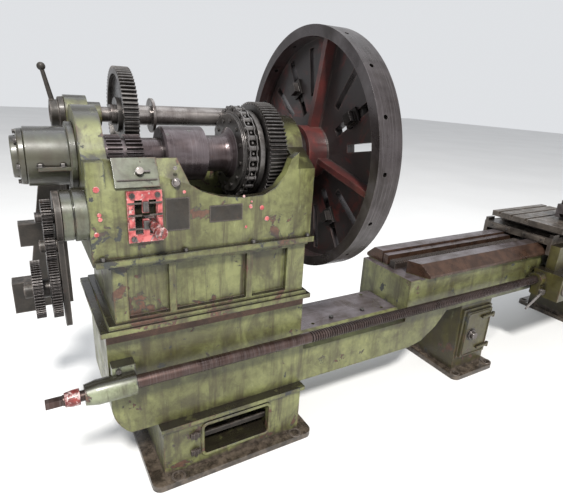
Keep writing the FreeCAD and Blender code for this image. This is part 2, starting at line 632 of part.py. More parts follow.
def make_data_plates():
    face = -HEADSTOCK_HALF_WIDTH
    tall = block(-668.0, -586.0, face - 3.0, face, -222.0, -110.0)
    wide = block(-514.0, -388.0, face - 3.0, face, -206.0, -146.0)
    return Part.makeCompound([tall, wide])


def make_reverse_boss():
    left = HEAD_LEFT - 91.0
    boss = turned_x([(left, 50.0), (left + 20.0, 50.0), (left + 20.0, 80.0), (left + 50.0, 80.0),
                     (left + 50.0, 76.0), (left + 54.0, 76.0), (left + 54.0, 84.0), (HEAD_LEFT, 84.0)],
                    REVERSE_Y, REVERSE_Z)
    return boss.cut(along_x(left - 1.0, HEAD_LEFT + 1.0, REVERSE_Y, REVERSE_Z, REVERSE_SHAFT_RADIUS + RUN))


def make_back_shaft_bearing():
    """Outer bearing on the left wall, with the spigot that the lever's hub turns on."""
    bearing = turned_x([(HEAD_LEFT - 48.0, 34.0), (HEAD_LEFT - 20.0, 34.0), (HEAD_LEFT - 20.0, 58.0),
                        (HEAD_LEFT, 60.0)], BACK_SHAFT_Y, BACK_SHAFT_Z)
    return bearing.cut(along_x(HEAD_LEFT - 60.0, HEAD_LEFT + 1.0, BACK_SHAFT_Y, BACK_SHAFT_Z,
                               BACK_JOURNAL_RADIUS + RUN))


def make_back_gear_lever():
    left, right = HEAD_LEFT - 46.0, HEAD_LEFT - 20.0 - SLIDE
    hub = along_x(left, right, BACK_SHAFT_Y, BACK_SHAFT_Z, 48.0)
    arm = Part.makeCone(9.0, 7.0, 122.0, V((left + right) / 2.0, BACK_SHAFT_Y, BACK_SHAFT_Z + 30.0), V(-0.2, 0, 1))
    tip = V((left + right) / 2.0, BACK_SHAFT_Y, BACK_SHAFT_Z + 30.0) + V(-0.2, 0, 1).normalize() * 128.0
    ball = Part.makeSphere(14.0, tip)
    return join([hub, arm, ball]).cut(along_x(left - 1.0, right + 1.0, BACK_SHAFT_Y, BACK_SHAFT_Z, 34.0 + RUN))


# ---- spindle group ------------------------------------------------------------------------------
def make_spindle():
    right_inner = HEAD_RIGHT - HEAD_WALL
    profile = [
        (HEAD_LEFT - 183.0, REAR_JOURNAL_RADIUS), (HEAD_LEFT + HEAD_WALL, REAR_JOURNAL_RADIUS),
        (HEAD_LEFT + HEAD_WALL, SLEEVE_SEAT_RADIUS), (SLEEVE_RIGHT + 8.0, SLEEVE_SEAT_RADIUS),
        (SLEEVE_RIGHT + 8.0, BULL_SEAT_RADIUS), (right_inner - 5.0, BULL_SEAT_RADIUS),
        (right_inner - 5.0, FRONT_JOURNAL_RADIUS), (HEAD_RIGHT + 20.0, FRONT_JOURNAL_RADIUS),
        (HEAD_RIGHT + 20.0, 92.0), (HUB_BACK, 92.0), (HUB_BACK, NOSE_RADIUS),
        (FACEPLATE_THICKNESS - 10.0, NOSE_RADIUS),
    ]
    shaft = turned_x(profile, 0.0, 0.0)
    return shaft.cut(along_x(HEAD_LEFT - 184.0, FACEPLATE_THICKNESS, 0.0, 0.0, SPINDLE_BORE_RADIUS))


HUB_BACK = -30.0
BULL_LEFT = -254.0
BULL_WIDTH = 72.0
SLEEVE_LEFT = HEAD_LEFT + HEAD_WALL + 4.0
SLEEVE_RIGHT = BULL_LEFT - 8.0
BULL_PHASE = math.pi / 2.0
SLEEVE_PHASE = 0.0
BACK_DIRECTION = math.atan2(BACK_SHAFT_Z, BACK_SHAFT_Y)


def make_bull_gear():
    gear = gear_x(HEAD_MODULE, BULL_TEETH, BULL_LEFT, BULL_LEFT + BULL_WIDTH, 0.0, 0.0, BULL_PHASE,
                  BULL_SEAT_RADIUS + SEAT)
    recess = along_x(BULL_LEFT - 1.0, BULL_LEFT + 20.0, 0.0, 0.0, 165.0)
    recess = recess.cut(along_x(BULL_LEFT - 1.0, BULL_LEFT + 20.0, 0.0, 0.0, 95.0))
    return gear.cut(recess)


def radial_slot(angle, inner, outer, width):
    slot = block(WEB_BACK - 80.0, FACEPLATE_THICKNESS + 1.0, inner, outer, -width / 2.0, width / 2.0)
    slot.rotate(V(0, 0, 0), V(1, 0, 0), angle)
    return slot


def make_faceplate():
    rim = along_x(0.0, FACEPLATE_THICKNESS, 0.0, 0.0, FACEPLATE_RADIUS)
    rim = rim.cut(along_x(-1.0, WEB_BACK, 0.0, 0.0, FACEPLATE_RADIUS - RIM_WALL))
    shapes = [rim, along_x(HUB_BACK, WEB_BACK + 1.0, 0.0, 0.0, HUB_RADIUS)]
    for i in range(4):
        rib = block(14.0, WEB_BACK + 1.0, 20.0, FACEPLATE_RADIUS - RIM_WALL / 2.0, -RIB_WIDTH / 2.0, RIB_WIDTH / 2.0)
        rib.rotate(V(0, 0, 0), V(1, 0, 0), RIB_TURN + 90.0 * i)
        shapes.append(rib)
    plate = join(shapes)
    cuts = [along_x(HUB_BACK - 1.0, FACEPLATE_THICKNESS + 1.0, 0.0, 0.0, NOSE_RADIUS + SEAT)]
    for i in range(4):
        middle = RIB_TURN + 45.0 + 90.0 * i
        cuts.append(radial_slot(middle, JAW_SLOT_INNER, JAW_SLOT_OUTER, JAW_SLOT_WIDTH))
        for side in (-1, 1):
            cuts.append(radial_slot(middle + side * 22.0, 235.0, 430.0, SLOT_WIDTH))
    for i in range(16):
        angle = RIB_TURN + 11.25 + 22.5 * i
        hole = Part.makeCylinder(9.0, RIM_WALL + 2.0, V(34.0, FACEPLATE_RADIUS - RIM_WALL - 1.0, 0.0), V(0, 1, 0))
        hole.rotate(V(0, 0, 0), V(1, 0, 0), angle)
        cuts.append(hole)
    return carve(plate, cuts)


def make_jaw(number):
    """A stepped jaw with a tongue in its slot, and the bolt and square nut that hold it from behind."""
    face = FACEPLATE_THICKNESS + SLIDE
    half = JAW_SLOT_WIDTH / 2.0 - SLIDE
    body = block(face, face + 40.0, JAW_RADIUS - 95.0, JAW_RADIUS + 85.0, -50.0, 50.0)
    step = block(face + 39.0, face + 75.0, JAW_RADIUS - 60.0, JAW_RADIUS + 60.0, -40.0, 40.0)
    nose = block(face + 74.0, face + 105.0, JAW_RADIUS - 20.0, JAW_RADIUS + 40.0, -32.0, 32.0)
    tongue = block(WEB_BACK + 6.0, face + 1.0, JAW_RADIUS - 60.0, JAW_RADIUS + 50.0, -half, half)
    stem = along_x(WEB_BACK - 30.0, WEB_BACK + 7.0, JAW_RADIUS, 0.0, 13.0)
    washer = block(WEB_BACK - 12.0, WEB_BACK - SLIDE, JAW_RADIUS - 34.0, JAW_RADIUS + 34.0, -30.0, 30.0)
    nut = block(WEB_BACK - 36.0, WEB_BACK - 11.0, JAW_RADIUS - 20.0, JAW_RADIUS + 20.0, -20.0, 20.0)
    jaw = join([body, step, nose, tongue, stem, washer, nut])
    jaw.rotate(V(0, 0, 0), V(1, 0, 0), jaw_angle(number))
    return jaw


def jaw_angle(number):
    return RIB_TURN + 45.0 + 90.0 * number


# ---- driven sleeve and back shaft ---------------------------------------------------------------
SLEEVE_BANDS = ((-806.0, -757.0), (-744.0, -688.0))
SPROCKET_LEFT = -346.0
CHAIN_BAND = (-338.0, -296.0)
CHAIN_INNER_RADIUS = 160.0
CHAIN_OUTER_RADIUS = 178.0
BRAKE_RING_RADIUS = 166.0
SLEEVE_END = -381.0


def make_sleeve():
    profile = [(SLEEVE_LEFT, 62.0), (-688.0, 58.5), (-618.0, 58.5), (-618.0, 94.0), (-611.0, 100.0),
               (-462.0, 100.0), (-462.0, 68.0), (SLEEVE_END, 68.0), (-362.0, 76.0),
               (SPROCKET_LEFT, 98.0), (SPROCKET_LEFT, 90.0), (SLEEVE_RIGHT, 90.0)]
    shapes = [turned_x(profile, 0.0, 0.0)]
    for x0, x1 in SLEEVE_BANDS:
        shapes.append(gear_x(HEAD_MODULE, SLEEVE_TEETH, x0, x1, 0.0, 0.0, SLEEVE_PHASE, 50.0))
    sleeve = join(shapes)
    neck = along_x(SLEEVE_BANDS[0][0], SLEEVE_BANDS[1][1], 0.0, 0.0, 75.0)
    root = SLEEVE_PITCH - 1.25 * HEAD_MODULE
    neck = neck.cut(along_x(SLEEVE_BANDS[0][0], SLEEVE_BANDS[1][1], 0.0, 0.0, root))
    for x0, x1 in SLEEVE_BANDS:
        neck = neck.cut(block(x0, x1, -80.0, 80.0, -80.0, 80.0))
    bore = along_x(SLEEVE_LEFT - 1.0, SLEEVE_RIGHT + 1.0, 0.0, 0.0, SLEEVE_SEAT_RADIUS + RUN)
    return carve(sleeve, [neck, bore])


def make_sprocket():
    inner = CHAIN_INNER_RADIUS - SEAT
    profile = [(SPROCKET_LEFT, 150.0), (CHAIN_BAND[0], 150.0), (CHAIN_BAND[0], inner), (CHAIN_BAND[1], inner),
               (CHAIN_BAND[1] + 6.0, 150.0), (CHAIN_BAND[1] + 14.0, BRAKE_RING_RADIUS),
               (SLEEVE_RIGHT, BRAKE_RING_RADIUS)]
    disc = turned_x(profile, 0.0, 0.0)
    return disc.cut(along_x(SPROCKET_LEFT - 1.0, SLEEVE_RIGHT + 1.0, 0.0, 0.0, 90.0 + SEAT))


def make_drive_chain():
    ring = along_x(CHAIN_BAND[0], CHAIN_BAND[1], 0.0, 0.0, CHAIN_OUTER_RADIUS)
    return ring.cut(along_x(CHAIN_BAND[0] - 1.0, CHAIN_BAND[1] + 1.0, 0.0, 0.0, CHAIN_INNER_RADIUS))


BACK_GEAR_BAND = (-728.0, -675.0)
BACK_PINION_BAND = (-258.0, -176.0)


def make_back_shaft():
    tube_left = BACK_GEAR_BAND[0] - 20.0
    profile = [(HEAD_LEFT - 40.0, BACK_JOURNAL_RADIUS), (tube_left, BACK_JOURNAL_RADIUS),
               (tube_left, BACK_TUBE_RADIUS), (-597.0, BACK_TUBE_RADIUS), (-597.0, 66.0), (-585.0, 66.0),
               (-585.0, BACK_TUBE_RADIUS), (BACK_PINION_BAND[0] - 4.0, BACK_TUBE_RADIUS),
               (BACK_PINION_BAND[0] - 4.0, BACK_JOURNAL_RADIUS), (HEAD_RIGHT, BACK_JOURNAL_RADIUS)]
    return turned_x(profile, BACK_SHAFT_Y, BACK_SHAFT_Z)


def make_back_gear():
    phase = mating_phase(SLEEVE_TEETH, SLEEVE_PHASE, BACK_DIRECTION, BACK_GEAR_TEETH)
    left, right = BACK_GEAR_BAND
    gear = gear_x(HEAD_MODULE, BACK_GEAR_TEETH, left, right, BACK_SHAFT_Y, BACK_SHAFT_Z, phase,
                  BACK_TUBE_RADIUS + SEAT)
    cuts = []
    for x0, x1 in ((left - 1.0, left + 16.0), (right - 16.0, right + 1.0)):
        recess = along_x(x0, x1, BACK_SHAFT_Y, BACK_SHAFT_Z, 148.0)
        cuts.append(recess.cut(along_x(x0, x1, BACK_SHAFT_Y, BACK_SHAFT_Z, 64.0)))
    return carve(gear, cuts)


def make_back_pinion():
    phase = mating_phase(BULL_TEETH, BULL_PHASE, BACK_DIRECTION, BACK_PINION_TEETH)
    left, right = BACK_PINION_BAND
    return gear_x(HEAD_MODULE, BACK_PINION_TEETH, left, right, BACK_SHAFT_Y, BACK_SHAFT_Z, phase,
                  BACK_JOURNAL_RADIUS + SEAT)


# ---- change gears -------------------------------------------------------------------------------
REVERSE_PHASE = 0.0


def idler_phase():
    return mating_phase(REVERSE_TEETH, REVERSE_PHASE, IDLER_DIRECTION, IDLER_TEETH)


def make_reverse_gear():
    gear = gear_x(CHANGE_MODULE, REVERSE_TEETH, CHANGE_PLANE, CHANGE_PLANE + CHANGE_GEAR_WIDTH, REVERSE_Y,
                  REVERSE_Z, REVERSE_PHASE, 10.0)
    hub = along_x(CHANGE_PLANE + CHANGE_GEAR_WIDTH - 1.0, HEAD_LEFT - 92.0, REVERSE_Y, REVERSE_Z, 24.0)
    shaft = along_x(CHANGE_PLANE - 18.0, HEAD_LEFT + HEAD_WALL + 20.0, REVERSE_Y, REVERSE_Z, REVERSE_SHAFT_RADIUS)
    return join([gear, hub, shaft])


def make_idler_gear():
    return gear_x(CHANGE_MODULE, IDLER_TEETH, CHANGE_PLANE, CHANGE_PLANE + CHANGE_GEAR_WIDTH, IDLER_Y, IDLER_Z,
                  idler_phase(), STUD_RADIUS + RUN)


def make_stud_gear_inner():
    phase = mating_phase(IDLER_TEETH, idler_phase(), STUD_DIRECTION, STUD_TEETH)
    gear = gear_x(CHANGE_MODULE, STUD_TEETH, CHANGE_PLANE, CHANGE_PLANE + CHANGE_GEAR_WIDTH, STUD_Y, STUD_Z,
                  phase, STUD_RADIUS + RUN)
    hub = along_x(CHANGE_PLANE - 20.0, CHANGE_PLANE + 1.0, STUD_Y, STUD_Z, 30.0)
    hub = hub.cut(along_x(CHANGE_PLANE - 21.0, CHANGE_PLANE + 2.0, STUD_Y, STUD_Z, STUD_RADIUS + RUN))
    return join([gear, hub])


def make_stud_gear_outer():
    left = CHANGE_PLANE - 20.0 - CHANGE_GEAR_WIDTH
    return gear_x(CHANGE_MODULE, STUD_OUTER_TEETH, left, left + CHANGE_GEAR_WIDTH, STUD_Y, STUD_Z, 0.0,
                  STUD_RADIUS + RUN)


def make_quadrant():
    """Slotted arm clamped round the reverse boss, with the studs that the change gears run on."""
    left, right = HEAD_LEFT - 91.0, HEAD_LEFT - 73.0
    ring = along_x(left, right, REVERSE_Y, REVERSE_Z, 78.0)
    end_z = STUD_Z - 110.0
    arm = block(left, right, STUD_Y - 34.0, STUD_Y + 34.0, end_z, REVERSE_Z - 55.0)
    tip = along_x(left, right, STUD_Y, end_z, 34.0)
    body = join([ring, arm, tip])
    cuts = [along_x(left - 1.0, right + 1.0, REVERSE_Y, REVERSE_Z, 50.0 + SEAT)]
    cuts.append(block(left - 1.0, right + 1.0, STUD_Y - 11.0, STUD_Y + 11.0, end_z, STUD_Z - 30.0))
    body = carve(body, cuts)
    idler_stud = along_x(CHANGE_PLANE - 16.0, left + 1.0, IDLER_Y, IDLER_Z, STUD_RADIUS)
    stud = along_x(CHANGE_PLANE - 74.0, left + 1.0, STUD_Y, STUD_Z, STUD_RADIUS)
    shapes = [body, idler_stud, stud]
    for y, z in ((IDLER_Y, IDLER_Z), (STUD_Y, STUD_Z)):
        shapes.append(along_x(CHANGE_PLANE + CHANGE_GEAR_WIDTH + SLIDE, left + 1.0, y, z, 22.0))
    shapes.append(along_x(CHANGE_PLANE - 72.0, CHANGE_PLANE - 20.0 - CHANGE_GEAR_WIDTH - SLIDE, STUD_Y, STUD_Z, 24.0))
    shapes.append(along_x(CHANGE_PLANE - 14.0, CHANGE_PLANE - SLIDE, IDLER_Y, IDLER_Z, 20.0))
    return join(shapes)


# ---- end guard ----------------------------------------------------------------------------------
def make_end_guard():
    x = GUARD_HINGE_X
    inner, outer = GUARD_HINGE_Y + 4.0, GUARD_HINGE_Y + 22.0
    panel = prism_y([(x - 20.0, -125.0), (x - 95.0, -125.0), (x - 165.0, -520.0), (x - 165.0, -650.0),
                     (x - 20.0, -650.0)], inner, outer)
    upper = block(x - 185.0, x - 125.0, inner, outer + 45.0, -385.0, -295.0)
    lower = block(x - 235.0, x - 145.0, inner, outer + 55.0, -665.0, -535.0)
    shapes = [panel, upper, lower]
    for level in GUARD_LEVELS:
        shapes.append(along_z(level, level + GUARD_KNUCKLE, x, GUARD_HINGE_Y, 11.0))
        shapes.append(block(x - 22.0, x, GUARD_HINGE_Y + 2.0, GUARD_HINGE_Y + 10.0, level, level + GUARD_KNUCKLE))
    guard = join(shapes)
    return carve(guard, [along_z(-700.0, 0.0, x, GUARD_HINGE_Y, GUARD_PIN + RUN)])


# ---- leadscrew ----------------------------------------------------------------------------------
LEADSCREW_RIGHT = BED_RIGHT - 20.0
SQUARE_HALF = 13.0


def make_leadscrew():
    square = block(LEADSCREW_LEFT, LEADSCREW_LEFT + 52.0, LEADSCREW_Y - SQUARE_HALF, LEADSCREW_Y + SQUARE_HALF,
                   LEADSCREW_Z - SQUARE_HALF, LEADSCREW_Z + SQUARE_HALF)
    neck = along_x(LEADSCREW_LEFT + 51.0, LEADSCREW_LEFT + 170.0, LEADSCREW_Y, LEADSCREW_Z, 19.0)
    rod = along_x(LEADSCREW_LEFT + 169.0, LEADSCREW_RIGHT, LEADSCREW_Y, LEADSCREW_Z, LEADSCREW_RADIUS)
    return join([square, neck, rod])


def make_leadscrew_collar():
    left = LEADSCREW_LEFT + 58.0
    ring = turned_x([(left, 24.0), (left + 24.0, 28.0), (left + 48.0, 28.0)], LEADSCREW_Y, LEADSCREW_Z)
    return ring.cut(along_x(left - 1.0, left + 49.0, LEADSCREW_Y, LEADSCREW_Z, 19.0 + SEAT))


def make_leadscrew_bracket():
    left = BED_LEFT - 90.0
    boss = turned_x([(left, 36.0), (left + 40.0, 44.0), (left + 170.0, 44.0)], LEADSCREW_Y, LEADSCREW_Z)
    foot = block(BED_LEFT + 5.0, BED_LEFT + 85.0, LEADSCREW_Y + 10.0, -BED_HALF_WIDTH, LEADSCREW_Z - 62.0,
                 LEADSCREW_Z + 70.0)
    body = join([boss, foot])
    cuts = [along_x(left - 1.0, LEADSCREW_LEFT + 170.0 + SLIDE, LEADSCREW_Y, LEADSCREW_Z, 19.0 + RUN)]
    cuts.append(along_x(LEADSCREW_LEFT + 169.0 - SLIDE, left + 200.0, LEADSCREW_Y, LEADSCREW_Z,
                        LEADSCREW_RADIUS + RUN))
    return carve(body, cuts)


def make_leadscrew_end_bearing():
    left = LEADSCREW_RIGHT - 70.0
    boss = along_x(left, left + 60.0, LEADSCREW_Y, LEADSCREW_Z, 42.0)
    foot = block(left, left + 60.0, LEADSCREW_Y + 10.0, -BED_HALF_WIDTH, LEADSCREW_Z - 55.0, LEADSCREW_Z + 55.0)
    return join([boss, foot]).cut(along_x(left - 1.0, left + 61.0, LEADSCREW_Y, LEADSCREW_Z, LEADSCREW_RADIUS + RUN))


# ---- carriage -----------------------------------------------------------------------------------
def make_saddle():
    reach = SADDLE_REACH
    plate = block(SADDLE_LEFT, SADDLE_RIGHT, -reach, reach, WAYS + SLIDE, SADDLE_TOP)
    shapes = [plate]
    for side in (-1, 1):
        y0, y1 = sorted((side * (WAY_LIP + 2.0), side * reach))
        shapes.append(block(SADDLE_LEFT, SADDLE_RIGHT, y0, y1, WAYS - 62.0, WAYS + 1.0))
        shapes.append(block(SADDLE_LEFT + 6.0, SADDLE_LEFT + 70.0, y0, y1, SADDLE_TOP - 1.0, SADDLE_TOP + 22.0))
    rail = [(COMPOUND_X - 95.0, SADDLE_TOP - 1.0), (COMPOUND_X - 115.0, CROSS_BOTTOM - SLIDE),
            (COMPOUND_X + 115.0, CROSS_BOTTOM - SLIDE), (COMPOUND_X + 95.0, SADDLE_TOP - 1.0)]
    shapes.append(prism_y(rail, -reach - 60.0, reach))
    shapes.append(block(COMPOUND_X - 95.0, COMPOUND_X + 95.0, -reach - 60.0, -reach + 1.0, WAYS + 10.0, SADDLE_TOP))
    body = join(shapes)
    cuts = [block(COMPOUND_X - 26.0, COMPOUND_X + 26.0, -reach - 40.0, reach - 30.0, SADDLE_TOP, CROSS_BOTTOM)]
    cuts.append(along_y(-reach - 61.0, reach - 20.0, COMPOUND_X, CROSS_SCREW_Z, CROSS_SCREW_RADIUS + RUN))
    cuts.append(along_y(-reach - 1.0, 31.0, RACK_PINION_X, RACK_PINION_Z, 15.0 + RUN))
    cuts.append(along_y(-40.0, 30.0, RACK_PINION_X, RACK_PINION_Z, RACK_PINION_PITCH + 10.0))
    return carve(body, cuts)


def make_apron():
    right = APRON_LEFT + APRON_LENGTH
    upper = block(SADDLE_LEFT, right, -SADDLE_REACH - 60.0, -SADDLE_REACH, APRON_SHELF - 1.0, WAYS + 8.0)
    gearbox = block(APRON_LEFT, right, APRON_FRONT, LEADSCREW_Y + 40.0, APRON_BOTTOM, APRON_SHELF)
    nut = along_x(APRON_LEFT - 45.0, APRON_LEFT + 1.0, LEADSCREW_Y, LEADSCREW_Z, 46.0)
    bearing = along_y(APRON_BEARING_FRONT, -SADDLE_REACH - 1.0, RACK_PINION_X, RACK_PINION_Z, 34.0)
    lug = block(APRON_LEFT - 45.0, APRON_LEFT + 1.0, HALFNUT_FACE, LEADSCREW_Y + 10.0,
                HALFNUT_Z - 26.0, HALFNUT_Z + 36.0)
    body = join([upper, gearbox, nut, lug, bearing])
    cuts = [along_x(APRON_LEFT - 46.0, right + 1.0, LEADSCREW_Y, LEADSCREW_Z, LEADSCREW_RADIUS + 0.6)]
    cuts.append(along_y(APRON_BEARING_FRONT - 1.0, -SADDLE_REACH + 1.0, RACK_PINION_X, RACK_PINION_Z, 15.0 + RUN))
    cuts.append(along_y(HALFNUT_FACE - 1.0, HALFNUT_FACE + 20.0, HALFNUT_X, HALFNUT_Z, 9.0 + RUN))
    return carve(body, cuts)


HALFNUT_X = APRON_LEFT - 23.0
HALFNUT_Z = LEADSCREW_Z - 66.0
HALFNUT_FACE = LEADSCREW_Y - 40.0


def make_halfnut_lever():
    stem = along_y(HALFNUT_FACE - 22.0, HALFNUT_FACE + 12.0, HALFNUT_X, HALFNUT_Z, 9.0)
    hub = along_y(HALFNUT_FACE - 24.0, HALFNUT_FACE - SLIDE, HALFNUT_X, HALFNUT_Z, 18.0)
    arm = Part.makeCone(8.0, 6.0, 190.0, V(HALFNUT_X, HALFNUT_FACE - 14.0, HALFNUT_Z), V(-0.9, -0.1, -0.35))
    return join([stem, hub, arm])


def make_apron_handwheel():
    face = APRON_BEARING_FRONT
    shaft = along_y(face - 40.0, 25.0, RACK_PINION_X, RACK_PINION_Z, 15.0)
    hub = along_y(face - 12.0, face - SLIDE, RACK_PINION_X, RACK_PINION_Z, 26.0)
    wheel = handle_wheel_y(face - 36.0, RACK_PINION_X, RACK_PINION_Z, 105.0, 24.0, 4, 15.0)
    grip = along_y(face - 100.0, face - 20.0, RACK_PINION_X + 89.0, RACK_PINION_Z, 13.0)
    pinion = gear_y(RACK_MODULE, RACK_PINION_TEETH, -24.0, 14.0, RACK_PINION_X, RACK_PINION_Z, -math.pi / 2.0, 8.0)
    return join([shaft, hub, wheel, grip, pinion])


def gear_y(module, teeth, y0, y1, x, z, phase, bore):
    """A spur gear on an axis along Y; the phase is measured from +X towards +Z."""
    gear = gear_x(module, teeth, 0.0, y1 - y0, 0.0, 0.0, 0.0, bore)
    gear.rotate(V(0, 0, 0), V(0, 0, 1), 90.0)
    gear.rotate(V(0, 0, 0), V(0, 1, 0), 180.0 - math.degrees(phase))
    gear.translate(V(x, y0, z))
    return gear


def make_cross_slide():
    plate = block(CROSS_LEFT, CROSS_RIGHT, CROSS_FRONT, CROSS_REAR, CROSS_BOTTOM, CROSS_TOP)
    shapes = [plate]
    for side in (-1, 1):
        inner_top = COMPOUND_X + side * (115.0 + 2.0)
        inner_low = COMPOUND_X + side * (98.0 + 2.0)
        outer = COMPOUND_X + side * 165.0
        gib = [(inner_top, CROSS_BOTTOM + 1.0), (inner_low, SADDLE_TOP + 6.0), (outer, SADDLE_TOP + 6.0),
               (outer, CROSS_BOTTOM + 1.0)]
        shapes.append(prism_y(gib, CROSS_FRONT, CROSS_REAR))
    nut = block(COMPOUND_X - 22.0, COMPOUND_X + 22.0, -120.0, -60.0, SADDLE_TOP + 4.0, CROSS_BOTTOM + 1.0)
    shapes.append(nut)
    body = join(shapes)
    cuts = [along_y(-121.0, -59.0, COMPOUND_X, CROSS_SCREW_Z, CROSS_SCREW_RADIUS + 0.6)]
    for y in TABLE_SLOTS:
        cuts.append(block(CROSS_LEFT - 1.0, CROSS_RIGHT + 1.0, y - 9.0, y + 9.0, CROSS_TOP - 18.0, CROSS_TOP + 1.0))
    cuts.append(along_z(CROSS_TOP - 20.0, CROSS_TOP + 1.0, COMPOUND_X, COMPOUND_Y, 20.0 + RUN))
    return carve(body, cuts)


def make_cross_handle():
    front = -SADDLE_REACH - 60.0
    screw = along_y(front - 70.0, 190.0, COMPOUND_X, CROSS_SCREW_Z, CROSS_SCREW_RADIUS)
    dial = along_y(front - 30.0, front - SLIDE, COMPOUND_X, CROSS_SCREW_Z, 22.0)
    crank = block(COMPOUND_X - 12.0, COMPOUND_X + 12.0, front - 190.0, front - 172.0, CROSS_SCREW_Z - 90.0,
                  CROSS_SCREW_Z + 16.0)
    stem = along_y(front - 190.0, front - 69.0, COMPOUND_X, CROSS_SCREW_Z, CROSS_SCREW_RADIUS)
    grip = along_y(front - 250.0, front - 189.0, COMPOUND_X, CROSS_SCREW_Z - 78.0, 11.0)
    return join([screw, dial, crank, stem, grip])


def make_swivel_base():
    disc = along_z(CROSS_TOP + SLIDE, SWIVEL_TOP - 14.0, COMPOUND_X, COMPOUND_Y, 92.0)
    spigot = along_z(CROSS_TOP - 19.0, CROSS_TOP + 1.0, COMPOUND_X, COMPOUND_Y, 20.0)
    rail = [(COMPOUND_Y - 34.0, SWIVEL_TOP - 15.0), (COMPOUND_Y - 44.0, SWIVEL_TOP + 12.0),
            (COMPOUND_Y + 44.0, SWIVEL_TOP + 12.0), (COMPOUND_Y + 34.0, SWIVEL_TOP - 15.0)]
    return join([disc, spigot, prism_x(rail, COMPOUND_X - 88.0, COMPOUND_X + 88.0)])


def make_top_slide():
    left, right = COMPOUND_X - 120.0, COMPOUND_X + 120.0
    body = block(left, right, COMPOUND_Y - 68.0, COMPOUND_Y + 68.0, SWIVEL_TOP - 12.0, TOP_SLIDE_TOP)
    stud = along_z(TOP_SLIDE_TOP - 1.0, TOP_SLIDE_TOP + 94.0, COMPOUND_X - 30.0, COMPOUND_Y, 14.0)
    groove = [(COMPOUND_Y - 36.0, SWIVEL_TOP - 13.0), (COMPOUND_Y - 46.0, SWIVEL_TOP + 12.0 + SLIDE),
              (COMPOUND_Y + 46.0, SWIVEL_TOP + 12.0 + SLIDE), (COMPOUND_Y + 36.0, SWIVEL_TOP - 13.0)]
    cuts = [prism_x(groove, left - 1.0, right + 1.0)]
    cuts.append(along_x(left + 20.0, right + 1.0, COMPOUND_Y, TOP_SCREW_Z, TOP_SCREW_RADIUS + RUN))
    return carve(join([body, stud]), cuts)


def make_top_handle():
    right = COMPOUND_X + 120.0
    screw = along_x(right - 180.0, right + 70.0, COMPOUND_Y, TOP_SCREW_Z, TOP_SCREW_RADIUS)
    dial = along_x(right + SLIDE, right + 26.0, COMPOUND_Y, TOP_SCREW_Z, 24.0)
    crank = block(right + 54.0, right + 68.0, COMPOUND_Y - 60.0, COMPOUND_Y + 60.0,
                  TOP_SCREW_Z - 9.0, TOP_SCREW_Z + 9.0)
    shapes = [screw, dial, crank]
    for side in (-1, 1):
        shapes.append(along_x(right + 67.0, right + 100.0, COMPOUND_Y + side * 52.0, TOP_SCREW_Z, 9.0))
    return join(shapes)


def make_tool_post():
    x = COMPOUND_X - 30.0
    bottom = TOP_SLIDE_TOP + SLIDE
    body = block(x - 62.0, x + 62.0, COMPOUND_Y - 62.0, COMPOUND_Y + 62.0, bottom, bottom + 84.0)
    cuts = [along_z(bottom - 1.0, bottom + 85.0, x, COMPOUND_Y, 14.0 + RUN)]
    for side in (-1, 1):
        x0, x1 = sorted((side * 36.0, side * 63.0))
        cuts.append(block(x + x0, x + x1, COMPOUND_Y - 63.0, COMPOUND_Y + 63.0, bottom + 22.0, bottom + 54.0))
        cuts.append(block(x - 63.0, x + 63.0, COMPOUND_Y + x0, COMPOUND_Y + x1, bottom + 22.0, bottom + 54.0))
    return carve(body, cuts)


def make_post_lever():
    x = COMPOUND_X - 30.0
    bottom = TOP_SLIDE_TOP + SLIDE + 84.0 + SLIDE
    hub = along_z(bottom, bottom + 26.0, x, COMPOUND_Y, 26.0)
    arm = Part.makeCone(9.0, 7.0, 150.0, V(x, COMPOUND_Y, bottom + 14.0), V(0.3, -0.9, 0.35))
    return join([hub, arm]).cut(along_z(bottom - 1.0, bottom + 10.0, x, COMPOUND_Y, 14.0 + RUN))


# ---- tailstock ----------------------------------------------------------------------------------
def make_tailstock():
    left, right = TAILSTOCK_LEFT, TAILSTOCK_RIGHT
    base = block(left, right, -175.0, 175.0, WAYS + SLIDE, WAYS + 70.0)
    column = prism_x([(-150.0, WAYS + 69.0), (-70.0, -90.0), (-60.0, 0.0), (60.0, 0.0), (70.0, -90.0),
                      (150.0, WAYS + 69.0)], left + 20.0, right - 20.0)
    barrel = along_x(left - 20.0, right + 10.0, 0.0, 0.0, 88.0)
    lock_boss = along_z(60.0, 104.0, left + 60.0, 0.0, 24.0)
    body = join([base, column, barrel, lock_boss])
    cuts = [along_x(left - 21.0, right - 10.0, 0.0, 0.0, QUILL_RADIUS + RUN)]
    cuts.append(along_x(right - 11.0, right + 11.0, 0.0, 0.0, TAIL_SCREW_RADIUS + RUN))
    cuts.append(along_z(QUILL_RADIUS, 105.0, left + 60.0, 0.0, 10.0 + RUN))
    return carve(body, cuts)


def make_quill():
    left = TAILSTOCK_LEFT - 90.0
    right = TAILSTOCK_RIGHT - 12.0
    body = along_x(left, right, 0.0, 0.0, QUILL_RADIUS)
    cuts = [along_x(left - 1.0, left + QUILL_BORE_DEPTH, 0.0, 0.0, QUILL_BORE_RADIUS)]
    cuts.append(along_x(right - 240.0, right + 1.0, 0.0, 0.0, TAIL_SCREW_RADIUS + 0.6))
    return carve(body, cuts)


